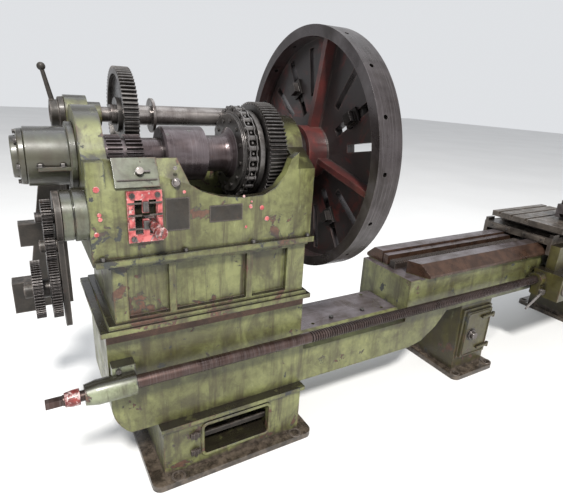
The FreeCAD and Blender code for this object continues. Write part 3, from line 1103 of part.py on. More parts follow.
def make_tail_handwheel():
    right = TAILSTOCK_RIGHT + 10.0
    screw = along_x(TAILSTOCK_RIGHT - 200.0, right + 60.0, 0.0, 0.0, TAIL_SCREW_RADIUS)
    wheel = handle_wheel_y(0.0, 0.0, 0.0, 130.0, 26.0, 4, TAIL_SCREW_RADIUS)
    wheel.rotate(V(0, 0, 0), V(0, 0, 1), -90.0)
    wheel.translate(V(right + 20.0, 0.0, 0.0))
    dial = along_x(right + SLIDE, right + 21.0, 0.0, 0.0, 34.0)
    grip = along_x(right + 45.0, right + 120.0, 0.0, 112.0, 12.0)
    return join([screw, wheel, dial, grip])


def make_quill_lock():
    x = TAILSTOCK_LEFT + 60.0
    stud = along_z(QUILL_RADIUS + 6.0, 130.0, x, 0.0, 10.0)
    hub = along_z(104.0 + SLIDE, 130.0, x, 0.0, 20.0)
    arm = Part.makeCone(8.0, 6.0, 130.0, V(x, 0.0, 120.0), V(0.5, -0.8, 0.35))
    return join([stud, hub, arm])


# ---- fasteners ----------------------------------------------------------------------------------
def make_headstock_screws():
    screws = []
    for x in (GATE_X[0] + 16.0, GATE_X[1] - 16.0):
        for z in (GATE_Z[0] + 14.0, GATE_Z[1] - 14.0):
            screws.append(along_y(GATE_FACE - 2.0, GATE_FACE + 5.0, x, z, 7.0))
    for side in (-1, 1):
        for x in (HEAD_LEFT + 30.0, HEAD_LEFT + 300.0, HEAD_LEFT + 560.0, HEAD_RIGHT - 20.0):
            screws.append(hexagon_z(x, side * (HEADSTOCK_HALF_WIDTH + 11.0), RISER_TOP + 22.0, 9.0, 12.0))
    bolt_x = BED_LEFT + 25.0
    screws.append(along_y(LEADSCREW_Y - 4.0, LEADSCREW_Y + 10.0, bolt_x, LEADSCREW_Z + 57.0, 9.0))
    for x in (GAP_LEFT + 260.0, GAP_RIGHT - 200.0):
        screws.append(hexagon_z(x, -70.0, GAP_FLOOR, 12.0, 11.0))
    return Part.makeCompound(screws)


def hexagon_z(x, y, z, radius, height):
    corners = [(x + a, y + b) for a, b in arc_points(0.0, 0.0, radius, 0.0, 300.0, 5)]
    return prism_z(corners, z, z + height)


PARTS = {
    "bed": make_bed,
    "rack": make_rack,
    "left_pedestal": make_left_pedestal,
    "pedestal_tray": make_pedestal_tray,
    "middle_leg": make_middle_leg,
    "leg_door": make_leg_door,
    "door_knob": make_door_knob,
    "tail_leg": make_tail_leg,
    "riser": make_riser,
    "headstock": make_headstock,
    "rear_bearing_housing": make_rear_bearing_housing,
    "rear_bearing_cap": make_rear_bearing_cap,
    "front_bearing_ring": make_front_bearing_ring,
    "gear_cover": make_gear_cover,
    "cover_pointer": make_cover_pointer,
    "gate_plate": make_gate_plate,
    "shift_handle": make_shift_handle,
    "data_plates": make_data_plates,
    "reverse_boss": make_reverse_boss,
    "back_shaft_bearing": make_back_shaft_bearing,
    "back_gear_lever": make_back_gear_lever,
    "spindle": make_spindle,
    "bull_gear": make_bull_gear,
    "faceplate": make_faceplate,
    "sleeve": make_sleeve,
    "sprocket": make_sprocket,
    "drive_chain": make_drive_chain,
    "back_shaft": make_back_shaft,
    "back_gear": make_back_gear,
    "back_pinion": make_back_pinion,
    "reverse_gear": make_reverse_gear,
    "idler_gear": make_idler_gear,
    "stud_gear_inner": make_stud_gear_inner,
    "stud_gear_outer": make_stud_gear_outer,
    "quadrant": make_quadrant,
    "end_guard": make_end_guard,
    "leadscrew": make_leadscrew,
    "leadscrew_collar": make_leadscrew_collar,
    "leadscrew_bracket": make_leadscrew_bracket,
    "leadscrew_end_bearing": make_leadscrew_end_bearing,
    "saddle": make_saddle,
    "apron": make_apron,
    "halfnut_lever": make_halfnut_lever,
    "apron_handwheel": make_apron_handwheel,
    "cross_slide": make_cross_slide,
    "cross_handle": make_cross_handle,
    "swivel_base": make_swivel_base,
    "top_slide": make_top_slide,
    "top_handle": make_top_handle,
    "tool_post": make_tool_post,
    "post_lever": make_post_lever,
    "tailstock": make_tailstock,
    "quill": make_quill,
    "tail_handwheel": make_tail_handwheel,
    "quill_lock": make_quill_lock,
    "headstock_screws": make_headstock_screws,
}


def origin_shift(shapes):
    """The move that puts the origin on the floor under the middle of the machine's overall box."""
    box = FreeCAD.BoundBox()
    for shape in shapes.values():
        box.add(shape.BoundBox)
    return V(-round(box.Center.x), -round(box.Center.y), SPINDLE_HEIGHT)


def main():
    os.makedirs("parts", exist_ok=True)
    shapes = {name: make() for name, make in PARTS.items()}
    for number in range(4):
        shapes["jaw_%d" % (number + 1)] = make_jaw(number)
    shift = origin_shift(shapes)
    for name, shape in shapes.items():
        shape.translate(shift)
        shape.exportStep("parts/%s.step" % name)
    print("origin moved by", shift)
    return shapes, shift


if __name__ == "__main__":
    main()
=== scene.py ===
"""Looks of the gap-bed facing lathe: worn paint, oily steel and detail round the CAD frame.

Metres, in the frame's own axes. Places are given in millimetres from the spindle axis at the back
of the faceplate rim, which is found from the faceplate's box, and turned into the frame by at().
"""
import json
import math

import bmesh
import bpy
from mathutils import Matrix, Vector


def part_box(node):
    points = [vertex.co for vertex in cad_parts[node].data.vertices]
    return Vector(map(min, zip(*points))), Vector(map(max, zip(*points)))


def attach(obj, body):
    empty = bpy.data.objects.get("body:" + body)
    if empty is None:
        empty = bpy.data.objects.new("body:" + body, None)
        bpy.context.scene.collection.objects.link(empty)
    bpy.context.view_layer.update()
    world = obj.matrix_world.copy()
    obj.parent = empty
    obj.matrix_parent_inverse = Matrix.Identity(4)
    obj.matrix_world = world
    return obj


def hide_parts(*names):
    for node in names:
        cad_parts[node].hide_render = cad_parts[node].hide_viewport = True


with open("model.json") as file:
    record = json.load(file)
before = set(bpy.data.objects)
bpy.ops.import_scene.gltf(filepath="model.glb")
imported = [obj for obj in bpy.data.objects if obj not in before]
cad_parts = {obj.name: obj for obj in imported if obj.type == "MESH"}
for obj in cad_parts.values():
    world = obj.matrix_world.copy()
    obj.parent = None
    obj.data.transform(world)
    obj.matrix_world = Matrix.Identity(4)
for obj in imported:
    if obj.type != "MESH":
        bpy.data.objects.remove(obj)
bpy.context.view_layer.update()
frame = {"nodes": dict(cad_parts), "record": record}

# ---- the frame's own measures -------------------------------------------------------------------
MM = 0.001
FACEPLATE_LOW, FACEPLATE_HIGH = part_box("faceplate")
FACEPLATE_THICKNESS = 0.105
RIM_BACK = FACEPLATE_HIGH.x - FACEPLATE_THICKNESS
AXIS_Y = (FACEPLATE_LOW.y + FACEPLATE_HIGH.y) / 2.0
AXIS_Z = (FACEPLATE_LOW.z + FACEPLATE_HIGH.z) / 2.0
RACK_TO_WAYS = 0.025
WAYS_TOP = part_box("rack")[1].z + RACK_TO_WAYS
FULL_TURN = 2.0 * math.pi


def at(x, y, z):
    """A point given in millimetres from the spindle axis at the back of the faceplate rim."""
    return Vector((RIM_BACK + x * MM, AXIS_Y + y * MM, AXIS_Z + z * MM))


# ---- node materials -----------------------------------------------------------------------------
EDGE_SAMPLES = 4
CORNER_SAMPLES = 6
COAT_ROUGHNESS = 0.18


class Look:
    """A node material built up layer by layer in the object's own coordinates."""

    def __init__(self, name):
        self.material = bpy.data.materials.new(name)
        self.material.use_nodes = True
        self.tree = self.material.node_tree
        self.shader = self.tree.nodes["Principled BSDF"]
        self.place = self.add("ShaderNodeTexCoord").outputs["Object"]
        self.normal = self.add("ShaderNodeNewGeometry").outputs["Normal"]

    def add(self, kind, inputs=(), **settings):
        node = self.tree.nodes.new(kind)
        for key, value in settings.items():
            setattr(node, key, value)
        for key, value in inputs:
            self.feed(node.inputs[key], value)
        return node

    def feed(self, socket, value):
        if isinstance(value, bpy.types.NodeSocket):
            self.tree.links.new(value, socket)
        else:
            socket.default_value = value

    def stretched(self, x, y, z):
        node = self.add("ShaderNodeMapping", [("Vector", self.place), ("Scale", (x, y, z))])
        return node.outputs["Vector"]

    def noise(self, scale, detail, roughness, distortion=0.0, where=None):
        node = self.add("ShaderNodeTexNoise", [
            ("Vector", where or self.place), ("Scale", scale), ("Detail", detail),
            ("Roughness", roughness), ("Distortion", distortion)])
        return node.outputs[0]

    def step(self, value, low, high, to_low=0.0, to_high=1.0):
        """A smooth rise from to_low to to_high while the value goes from low to high."""
        node = self.add("ShaderNodeMapRange", [
            ("Value", value), ("From Min", low), ("From Max", high),
            ("To Min", to_low), ("To Max", to_high)], interpolation_type="SMOOTHSTEP")
        return node.outputs["Result"]

    def mask(self, scale, detail, roughness, distortion=0.0, where=None, **levels):
        """Noise turned into patches by a step; levels are the step's."""
        return self.step(self.noise(scale, detail, roughness, distortion, where), **levels)

    def sum(self, first, second, operation="ADD"):
        node = self.add("ShaderNodeMath", [(0, first), (1, second)], operation=operation,
                        use_clamp=False)
        return node.outputs[0]

    def times(self, first, second):
        return self.sum(first, second, "MULTIPLY")

    def most(self, first, second):
        return self.sum(first, second, "MAXIMUM")

    def blend(self, share, first, second):
        """A colour between two colours."""
        node = self.add("ShaderNodeMix", [(0, share), (6, first), (7, second)], data_type="RGBA")
        return node.outputs[2]

    def between(self, share, first, second):
        """A number between two numbers."""
        return self.add("ShaderNodeMix", [(0, share), (2, first), (3, second)]).outputs[0]

    def part(self, vector, axis):
        node = self.add("ShaderNodeSeparateXYZ", [("Vector", vector)])
        return node.outputs[axis]

    def vector_math(self, operation, inputs, output):
        return self.add("ShaderNodeVectorMath", inputs, operation=operation).outputs[output]

    def radius_from_axis(self):
        """Metres from the spindle axis."""
        spindle = (0.0, AXIS_Y, AXIS_Z)
        centred = self.vector_math("SUBTRACT", [(0, self.place), (1, spindle)], "Vector")
        flat = self.vector_math("MULTIPLY", [(0, centred), (1, (0.0, 1.0, 1.0))], "Vector")
        return self.vector_math("LENGTH", [(0, flat)], "Value")

    def worn_edges(self, radius, low=0.02, high=0.2):
        """1 where the surface bends sharply within the radius, such as along an edge."""
        bevel = self.add("ShaderNodeBevel", [("Radius", radius)], samples=EDGE_SAMPLES)
        soft = bevel.outputs["Normal"]
        same = self.vector_math("DOT_PRODUCT", [(0, soft), (1, self.normal)], "Value")
        return self.step(self.sum(1.0, same, "SUBTRACT"), low, high)

    def corners(self, distance):
        """1 deep in corners and hollows."""
        node = self.add("ShaderNodeAmbientOcclusion", [("Distance", distance)],
                        samples=CORNER_SAMPLES)
        return self.step(node.outputs["AO"], 0.35, 0.85, to_low=1.0, to_high=0.0)

    def faces_up(self):
        return self.step(self.part(self.normal, 2), 0.55, 0.9)

    def bump(self, height, strength, distance):
        inputs = [("Height", height), ("Strength", strength), ("Distance", distance)]
        return self.add("ShaderNodeBump", inputs).outputs["Normal"]

    def finish(self, colour, roughness, metallic, normal=None, coat=0.0):
        self.feed(self.shader.inputs["Base Color"], colour)
        self.feed(self.shader.inputs["Roughness"], roughness)
        self.feed(self.shader.inputs["Metallic"], metallic)
        if normal is not None:
            self.feed(self.shader.inputs["Normal"], normal)
        self.shader.inputs["Coat Weight"].default_value = coat
        self.shader.inputs["Coat Roughness"].default_value = COAT_ROUGHNESS
        return self.material


def rgb(red, green, blue):
    return (red, green, blue, 1.0)


# near-black of oil, also laid as painted shade in corners and hollows
BLACK_OIL_AND_SHADE = rgb(0.010, 0.008, 0.006)
RED_OIL_AND_SHADE = rgb(0.014, 0.012, 0.012)
OLD_OIL = rgb(0.030, 0.022, 0.010)
DIRT = rgb(0.026, 0.020, 0.009)
PRIMER = rgb(0.024, 0.026, 0.025)
RUST = rgb(0.062, 0.026, 0.014)
DRY_RUST = rgb(0.105, 0.048, 0.026)
FADED_PAINT = rgb(0.250, 0.270, 0.150)
SOOT = (rgb(0.020, 0.015, 0.011), rgb(0.085, 0.066, 0.050))
FOOT_GRIME_LEVEL = 0.085
FOOT_GRIME_FADE = 0.022
CHIP_EDGE = 0.008
RUST_START = 0.010
RUST_FULL = 0.030
BARE_ROUGHNESS = 0.70
OIL_ROUGHNESS = 0.26


def paint_layers(look, light, dark, chips, streaks, top_grime, foot=False):
    """Colour, roughness and height of chipped machine paint with rust, oil and painted shade in the
    hollows.
    """
    patches = look.mask(2.6, 6.0, 0.66, 0.5, low=0.40, high=0.60)
    mottle = look.mask(16.0, 9.0, 0.74, 0.5, low=0.38, high=0.62)
    share = look.sum(look.times(patches, 0.6), look.times(mottle, 0.4))
    paint = look.blend(share, dark, light)
    pale = look.mask(48.0, 6.0, 0.75, where=look.stretched(1.0, 1.0, 0.3), low=0.58, high=0.80)
    paint = look.blend(look.times(pale, 0.55), paint, FADED_PAINT)

    runs = look.noise(1.0, 7.0, 0.66, 0.3, look.stretched(22.0, 22.0, 2.0))
    runs = look.times(look.step(runs, low=0.46, high=0.68), streaks)
    paint = look.blend(runs, paint, OLD_OIL)
    dirt = look.times(look.mask(5.5, 8.0, 0.7, 0.6, low=0.46, high=0.64), streaks)
    paint = look.blend(look.times(dirt, 0.85), paint, DIRT)

    # chips start at edges and in some regions, and their middles rust
    edges = look.worn_edges(radius=0.012)
    region = look.mask(2.9, 3.0, 0.55, low=0.40, high=0.62)
    flakes = look.noise(12.0, 11.0, 0.66, 0.5)
    flakes = look.sum(flakes, look.times(edges, 0.13))
    flakes = look.sum(flakes, look.times(region, 0.075))
    bare = look.step(flakes, chips, chips + CHIP_EDGE)
    core = look.step(flakes, chips + RUST_START, chips + RUST_FULL)
    rust_tone = look.blend(look.mask(55.0, 7.0, 0.7, low=0.4, high=0.65), RUST, DRY_RUST)
    slate = look.mask(4.3, 2.0, 0.5, low=0.46, high=0.54)
    under = look.blend(look.times(core, look.times(slate, 0.85)), PRIMER, rust_tone)
    colour = look.blend(bare, paint, under)

    pits = look.mask(150.0, 3.0, 0.55, low=0.675, high=0.70)
    pits = look.times(pits, look.mask(3.7, 2.0, 0.5, low=0.42, high=0.60))
    colour = look.blend(look.times(pits, 0.85), colour, PRIMER)

    settled = look.times(look.faces_up(), look.mask(14.0, 6.0, 0.6, low=0.20, high=0.44))
    # black oil in hollows and corners found by occlusion, which also paints shade there
    hollow_oil_and_shade = look.times(look.corners(distance=0.06),
                        look.mask(17.0, 7.0, 0.68, low=0.30, high=0.58))
    oil_and_shade = look.most(look.times(settled, top_grime), look.times(hollow_oil_and_shade, 0.90))
    colour = look.blend(oil_and_shade, colour, BLACK_OIL_AND_SHADE)
    if foot:
        ragged = look.sum(look.part(look.place, 2), look.times(look.noise(9.0, 7.0, 0.68), 0.10))
        low = look.step(ragged, FOOT_GRIME_LEVEL, FOOT_GRIME_LEVEL + FOOT_GRIME_FADE,
                        to_low=1.0, to_high=0.0)
        soot = look.blend(look.mask(26.0, 9.0, 0.72, low=0.38, high=0.66), *SOOT)
        colour = look.blend(low, colour, soot)

    rough = look.mask(9.0, 5.0, 0.6, low=0.3, high=0.7, to_low=0.30, to_high=0.55)
    rough = look.between(bare, rough, BARE_ROUGHNESS)
    rough = look.between(oil_and_shade, rough, OIL_ROUGHNESS)

    height = look.sum(look.times(bare, -0.6), look.times(look.noise(30.0, 4.0, 0.55), 0.5))
    height = look.sum(height, look.times(look.noise(230.0, 3.0, 0.6), 0.10))
    return colour, rough, height


PAINT_BUMP = {"strength": 0.55, "distance": 0.0016}


def make_paint(name, light, dark, chips, streaks=0.85, top_grime=0.95, coat=0.15, foot=False):
    look = Look(name)
    colour, rough, height = paint_layers(look, light, dark, chips, streaks, top_grime, foot)
    normal = look.bump(height, **PAINT_BUMP)
    return look.finish(colour, rough, 0.0, normal, coat)


PALE_MARK = rgb(0.30, 0.28, 0.29)
BRIGHT_EDGE = rgb(0.30, 0.28, 0.28)
STEEL_METALLIC = 0.75


def steel_layers(look, tone, shade, rough, rings):
    """Colour, roughness and tool marks of oiled steel, with black oil and painted shade in its
    corners; rings stretches the marks along the axes.
    """
    marks = look.noise(1.0, 4.0, 0.6, where=look.stretched(*rings))
    stains = look.mask(7.0, 8.0, 0.65, 0.6, low=0.36, high=0.68)
    colour = look.blend(stains, tone, shade)
    lighter = look.blend(0.35, tone, PALE_MARK)
    colour = look.blend(look.times(look.step(marks, 0.45, 0.75), 0.5), colour, lighter)
    rust = look.mask(30.0, 8.0, 0.7, low=0.60, high=0.74)
    colour = look.blend(look.times(rust, 0.5), colour, RUST)
    # black oil and painted shade in the corners, from occlusion
    oil_and_shade = look.times(look.corners(distance=0.03), 0.85)
    colour = look.blend(oil_and_shade, colour, BLACK_OIL_AND_SHADE)
    edges = look.worn_edges(radius=0.004, low=0.05, high=0.3)
    colour = look.blend(look.times(edges, 0.30), colour, BRIGHT_EDGE)
    gloss = look.mask(12.0, 6.0, 0.6, low=0.3, high=0.7, to_low=rough - 0.12, to_high=rough + 0.14)
    return colour, gloss, marks


def make_steel(name, tone, shade, rough, rings=(420.0, 3.0, 3.0)):
    look = Look(name)
    colour, gloss, marks = steel_layers(look, tone, shade, rough, rings)
    height = look.sum(look.times(marks, 0.5), look.times(look.noise(90.0, 4.0, 0.6), 0.5))
    normal = look.bump(height, strength=0.25, distance=0.0006)
    return look.finish(colour, gloss, STEEL_METALLIC, normal, coat=0.12)


def make_bed(name, paint, ways_top):
    """Painted casting whose machined tops and ways are bare steel."""
    look = Look(name)
    colour, rough, height = paint_layers(look, *paint, chips=0.672, streaks=0.75, top_grime=0.2)
    steel, gloss, marks = steel_layers(look, rgb(0.150, 0.130, 0.140), rgb(0.050, 0.034, 0.028),
                                       rough=0.34, rings=(3.0, 260.0, 260.0))
    level = look.part(look.place, 2)
    above = look.step(level, ways_top - 0.068, ways_top - 0.064)
    tops = look.step(look.part(look.normal, 2), 0.90, 0.97)
    metal = look.most(above, tops)
    rusty = look.blend(look.mask(16.0, 8.0, 0.7, low=0.35, high=0.65),
                       rgb(0.036, 0.020, 0.014), rgb(0.075, 0.040, 0.026))
    steel = look.blend(look.sum(1.0, look.times(tops, 0.95), "SUBTRACT"), steel, rusty)
    colour = look.blend(metal, colour, steel)
    rough = look.between(metal, rough, gloss)
    metallic = look.times(metal, 0.6)
    height = look.between(metal, height, look.times(marks, 0.2))
    return look.finish(colour, rough, metallic, look.bump(height, **PAINT_BUMP), coat=0.12)


RIB_BACKS = (RIM_BACK + 0.052, RIM_BACK + 0.062)
WEB_BACK = (RIM_BACK + 0.069, RIM_BACK + 0.071)
RIM_INSIDE = (0.456, 0.459)


def make_faceplate_look(name):
    """Dark turned rim and face; red paint under black oil and painted shade between the ribs at the
    back.
    """
    look = Look(name)
    steel, gloss, marks = steel_layers(look, rgb(0.046, 0.038, 0.039), rgb(0.018, 0.013, 0.012),
                                       rough=0.34, rings=(300.0, 6.0, 6.0))
    red = look.blend(look.mask(9.0, 8.0, 0.7, 0.5, low=0.36, high=0.66),
                     rgb(0.050, 0.006, 0.005), rgb(0.135, 0.014, 0.010))
    ribs = look.step(look.part(look.place, 0), *RIB_BACKS, to_low=1.0, to_high=0.0)
    grime_and_shade = look.mask(5.0, 10.0, 0.74, 0.9, low=0.32, high=0.50)
    # oil patches and painted shade in the corners, full on the recessed web and lighter on the ribs
    grime_and_shade = look.times(look.most(grime_and_shade, look.corners(distance=0.06)),
                       look.step(ribs, 0.0, 1.0, to_low=1.0, to_high=0.55))
    rubbed = look.times(look.worn_edges(radius=0.012, low=0.04, high=0.25),
                        look.mask(20.0, 8.0, 0.7, low=0.42, high=0.60))
    red = look.blend(look.times(grime_and_shade, 0.96), red, RED_OIL_AND_SHADE)
    red = look.blend(look.times(rubbed, 0.7), red, rgb(0.110, 0.070, 0.060))
    inside = look.step(look.radius_from_axis(), *RIM_INSIDE, to_low=1.0, to_high=0.0)
    behind = look.step(look.part(look.place, 0), *WEB_BACK, to_low=1.0, to_high=0.0)
    share = look.times(inside, behind)
    colour = look.blend(share, steel, red)
    rough = look.between(share, gloss, 0.5)
    metallic = look.sum(0.55, look.times(share, 0.5), "SUBTRACT")
    height = look.sum(look.times(marks, 0.4), look.times(look.noise(70.0, 6.0, 0.65), 0.6))
    normal = look.bump(height, strength=0.4, distance=0.0012)
    return look.finish(colour, rough, metallic, normal, coat=0.15)


def make_red(name, dull, bright, worn):
    """Red paint rubbed off along edges and in spots, the pale spots partly faded paint and partly a
    painted highlight of glare; black oil and painted shade in the corners.
    """
    look = Look(name)
    edges = look.worn_edges(radius=0.006, low=0.03, high=0.25)
    wear = look.step(look.sum(look.noise(48.0, 8.0, 0.7, 0.4), look.times(edges, 0.25)),
                     worn, worn + 0.04)
    red = look.blend(look.mask(30.0, 6.0, 0.6, low=0.35, high=0.65), dull, bright)
    # the pale pink of the rubbed spots is faded paint and in part a painted highlight of glare
    bare = look.blend(look.mask(80.0, 5.0, 0.6, low=0.4, high=0.6),
                      rgb(0.022, 0.016, 0.015), rgb(0.40, 0.27, 0.26))
    colour = look.blend(wear, red, bare)
    # black oil and painted shade in the corners, from occlusion
    colour = look.blend(look.times(look.corners(distance=0.02), 0.8), colour, BLACK_OIL_AND_SHADE)
    height = look.sum(look.times(wear, -0.6), look.times(look.noise(120.0, 4.0, 0.6), 0.3))
    normal = look.bump(height, strength=0.5, distance=0.001)
    return look.finish(colour, 0.42, 0.1, normal, coat=0.2)


IRON_DUST = rgb(0.24, 0.20, 0.17)
IRON_EDGE = rgb(0.26, 0.22, 0.20)


def make_iron(name, tone, shade, rough=0.55, metallic=0.3):
    """Rough oily cast iron."""
    look = Look(name)
    mottle = look.mask(13.0, 10.0, 0.7, 0.4, low=0.34, high=0.68)
    colour = look.blend(mottle, tone, shade)
    rust = look.mask(24.0, 9.0, 0.7, 0.3, low=0.58, high=0.70)
    colour = look.blend(look.times(rust, 0.55), colour, RUST)
    dust = look.times(look.faces_up(), look.mask(40.0, 6.0, 0.7, low=0.45, high=0.7))
    colour = look.blend(look.times(dust, 0.30), colour, IRON_DUST)
    edges = look.worn_edges(radius=0.008)
    colour = look.blend(look.times(edges, 0.3), colour, IRON_EDGE)
    gloss = look.mask(15.0, 6.0, 0.65, low=0.3, high=0.7, to_low=rough - 0.2, to_high=rough + 0.2)
    height = look.sum(look.noise(45.0, 6.0, 0.65), look.times(look.noise(240.0, 3.0, 0.6), 0.25))
    normal = look.bump(height, strength=0.5, distance=0.0016)
    return look.finish(colour, gloss, metallic, normal, coat=0.1)


# each paint's lighter and darker tone
SAGE = (rgb(0.150, 0.158, 0.060), rgb(0.056, 0.055, 0.018))
PALE_GREEN = (rgb(0.200, 0.220, 0.140), rgb(0.090, 0.100, 0.052))
GREY_GREEN = (rgb(0.085, 0.092, 0.060), rgb(0.020, 0.021, 0.012))
OLIVE = (rgb(0.055, 0.048, 0.012), rgb(0.022, 0.018, 0.005))

LOOKS = {
    "sage": make_paint("worn_sage_paint", *SAGE, chips=0.640),
    "grey_green": make_paint("glossy_grey_green_paint", *GREY_GREEN, chips=0.69, streaks=0.8,
                             coat=0.45),
    "olive": make_paint("dirty_olive_paint", *OLIVE, chips=0.66, streaks=0.9),
    "foot_sage": make_paint("pedestal_paint", *SAGE, chips=0.648, streaks=0.95, foot=True),
    "foot_olive": make_paint("leg_paint", *OLIVE, chips=0.650, streaks=0.95, foot=True),
    "pale_green": make_paint("pale_bracket_paint", *PALE_GREEN, chips=0.62, streaks=0.7, coat=0.3),
    "bed": make_bed("bed_casting", SAGE, WAYS_TOP),
    "faceplate": make_faceplate_look("faceplate_iron"),
    "spindle_steel": make_steel("turned_spindle_steel", rgb(0.082, 0.066, 0.071),
                                rgb(0.034, 0.022, 0.022), rough=0.32),
    "gear_steel": make_steel("oily_gear_steel", rgb(0.105, 0.098, 0.094),
                             rgb(0.030, 0.025, 0.022), rough=0.38),
    "change_gear": make_steel("dark_gear_steel", rgb(0.034, 0.029, 0.027),
                              rgb(0.012, 0.009, 0.008), rough=0.44),
    "screw_steel": make_steel("brown_screw_steel", rgb(0.064, 0.038, 0.032),
                              rgb(0.026, 0.014, 0.011), rough=0.34),
    # steel polished by handling; on the back shaft its light tone is a painted highlight
    "bright_steel": make_steel("handled_steel_and_painted_highlight", rgb(0.230, 0.210, 0.200),
                               rgb(0.070, 0.056, 0.052), rough=0.34),
    "slide_steel": make_steel("ground_slide_steel", rgb(0.120, 0.105, 0.108),
                              rgb(0.042, 0.032, 0.029), rough=0.38, rings=(5.0, 240.0, 240.0)),
    "dark_iron": make_iron("dark_cast_iron", rgb(0.011, 0.009, 0.007), rgb(0.030, 0.024, 0.019)),
    "foot_grime": make_iron("floor_grime_iron", rgb(0.022, 0.017, 0.013),
                            rgb(0.070, 0.055, 0.043), rough=0.5),
    "saddle_iron": make_iron("saddle_iron", rgb(0.036, 0.029, 0.023), rgb(0.095, 0.080, 0.066),
                             # oily black rack steel, its tone darkened a little further as painted
                             # shade under the ways' overhang
                             rough=0.42),
    "rack_iron": make_iron("oily_rack_steel_darkened_as_shade", rgb(0.012, 0.008, 0.006), rgb(0.030, 0.021, 0.017),
                           rough=0.5),
    # the lighter red and the pale spots of this paint are partly a painted highlight of glare
    "red": make_red("worn_red_paint_and_painted_glare", rgb(0.230, 0.020, 0.022), rgb(0.470, 0.120, 0.115),
                    worn=0.56),
    "rusty_red": make_red("rusty_red_paint", rgb(0.085, 0.010, 0.009), rgb(0.200, 0.030, 0.024),
                          worn=0.50),
    # near-black bare metal, also used for sheets that paint the shade in the gate's gaps
    "plate": make_iron("bare_plate_metal_and_gap_shade", rgb(0.007, 0.005, 0.003), rgb(0.016, 0.011, 0.006),
                       rough=0.68, metallic=0.0),
}

# ---- CAD nodes with rounded edges ---------------------------------------------------------------
NODE_BODY = {node: body for body, nodes in frame["record"]["behaviour"]["bodies"].items()
             for node in nodes}
NODE_SLOT = {row["node"]: row["material_slot"] for row in frame["record"]["subparts"]}
WELD_DISTANCE = 0.00002
FLAT_ANGLE = math.radians(0.8)
SMOOTH_ANGLE = math.radians(32.0)
BEVEL_ANGLE = math.radians(34.0)


def finish_piece(piece, look, body, slot, *replaced):
    piece.data.materials.clear()
    piece.data.materials.append(LOOKS[look])
    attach(piece, body)
    if replaced:
        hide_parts(*replaced)


def smooth_by_angle(mesh):
    for face in mesh.polygons:
        face.use_smooth = True
    mesh.set_sharp_from_angle(angle=SMOOTH_ANGLE)


def put_in_scene(name, data):
    made = bpy.data.objects.new(name, data)
    bpy.context.scene.collection.objects.link(made)
    return made


def dress(node, look, edge):
    """A copy of a CAD node with its sharp edges rounded by so many millimetres."""
    build = bmesh.new()
    build.from_mesh(frame["nodes"][node].data)
    bmesh.ops.remove_doubles(build, verts=build.verts, dist=WELD_DISTANCE)
    bmesh.ops.dissolve_limit(build, angle_limit=FLAT_ANGLE, verts=build.verts, edges=build.edges)
    mesh = bpy.data.meshes.new(node + "_finished")
    build.to_mesh(mesh)
    build.free()
    piece = put_in_scene(node + "_finished", mesh)
    smooth_by_angle(mesh)
    bevel = piece.modifiers.new("rounded edges", "BEVEL")
    bevel.width = edge * MM
    bevel.segments = 2
    bevel.limit_method = "ANGLE"
    bevel.angle_limit = BEVEL_ANGLE
    bevel.harden_normals = True
    bevel.use_clamp_overlap = True
    finish_piece(piece, look, NODE_BODY[node], NODE_SLOT[node], node)


# look, edge radius in millimetres, nodes
FINISHES = [
    ("sage", 4.0, ["riser"]),
    ("foot_sage", 4.0, ["left_pedestal"]),
    ("foot_olive", 4.0, ["middle_leg", "tail_leg"]),
    ("bed", 3.0, ["bed"]),
    ("sage", 5.0, ["headstock"]),
    ("grey_green", 3.5, ["rear_bearing_housing", "rear_bearing_cap", "gear_cover",
                         "reverse_boss"]),
    ("pale_green", 3.5, ["leadscrew_bracket"]),
    ("olive", 4.0, ["leg_door", "apron", "tailstock", "leadscrew_end_bearing"]),
    ("dark_iron", 3.0, ["end_guard", "pedestal_tray", "quadrant", "back_shaft_bearing",
                        "back_gear_lever"]),
    ("saddle_iron", 3.0, ["cross_slide", "saddle"]),
    ("faceplate", 3.0, ["faceplate"]),
    ("gear_steel", 0.7, ["bull_gear", "back_gear", "back_pinion"]),
    ("change_gear", 0.7, ["reverse_gear", "idler_gear", "stud_gear_inner", "stud_gear_outer"]),
    ("spindle_steel", 1.5, ["spindle", "sleeve", "front_bearing_ring"]),
    ("gear_steel", 1.5, ["sprocket", "headstock_screws"]),
    ("change_gear", 2.0, ["jaw_1", "jaw_2", "jaw_3", "jaw_4"]),
    ("rack_iron", 1.0, ["rack"]),
    ("slide_steel", 2.0, ["swivel_base", "top_slide", "tool_post"]),
    # the back shaft takes the light handled steel as a painted highlight, as it stands in shade
    ("bright_steel", 2.0, ["halfnut_lever", "apron_handwheel", "cross_handle", "top_handle",
                           "post_lever", "quill", "tail_handwheel", "quill_lock",
                           "cover_pointer", "door_knob", "back_shaft"]),
    ("red", 1.5, ["gate_plate"]),
    ("rusty_red", 1.5, ["shift_handle", "leadscrew_collar"]),
    ("plate", 0.8, ["data_plates"]),
]
for look_name, edge_radius, nodes in FINISHES:
    for node_name in nodes:
        dress(node_name, look_name, edge_radius)

# ---- shapes for the modelled detail -------------------------------------------------------------
TOWARDS_OPERATOR = (0, -1, 0)
UP = (0, 0, 1)
LEFT = (-1, 0, 0)
RIGHT = (1, 0, 0)


def side_vectors(axis):
    """Two unit vectors square to an axis."""
    helper = Vector((0.0, 0.0, 1.0)) if abs(axis.z) < 0.9 else Vector((1.0, 0.0, 0.0))
    first = axis.cross(helper).normalized()
    return first, axis.cross(first).normalized()


def bridge(build, near, far):
    """Side faces between two outlines with as many points."""
    count = len(near)
    for i in range(count):
        after = (i + 1) % count
        build.faces.new((near[i], near[after], far[after], far[i]))


def add_prism(build, near, far):
    """A closed body between two outlines."""
    bridge(build, near, far)
    build.faces.new(near[::-1])
    build.faces.new(far)


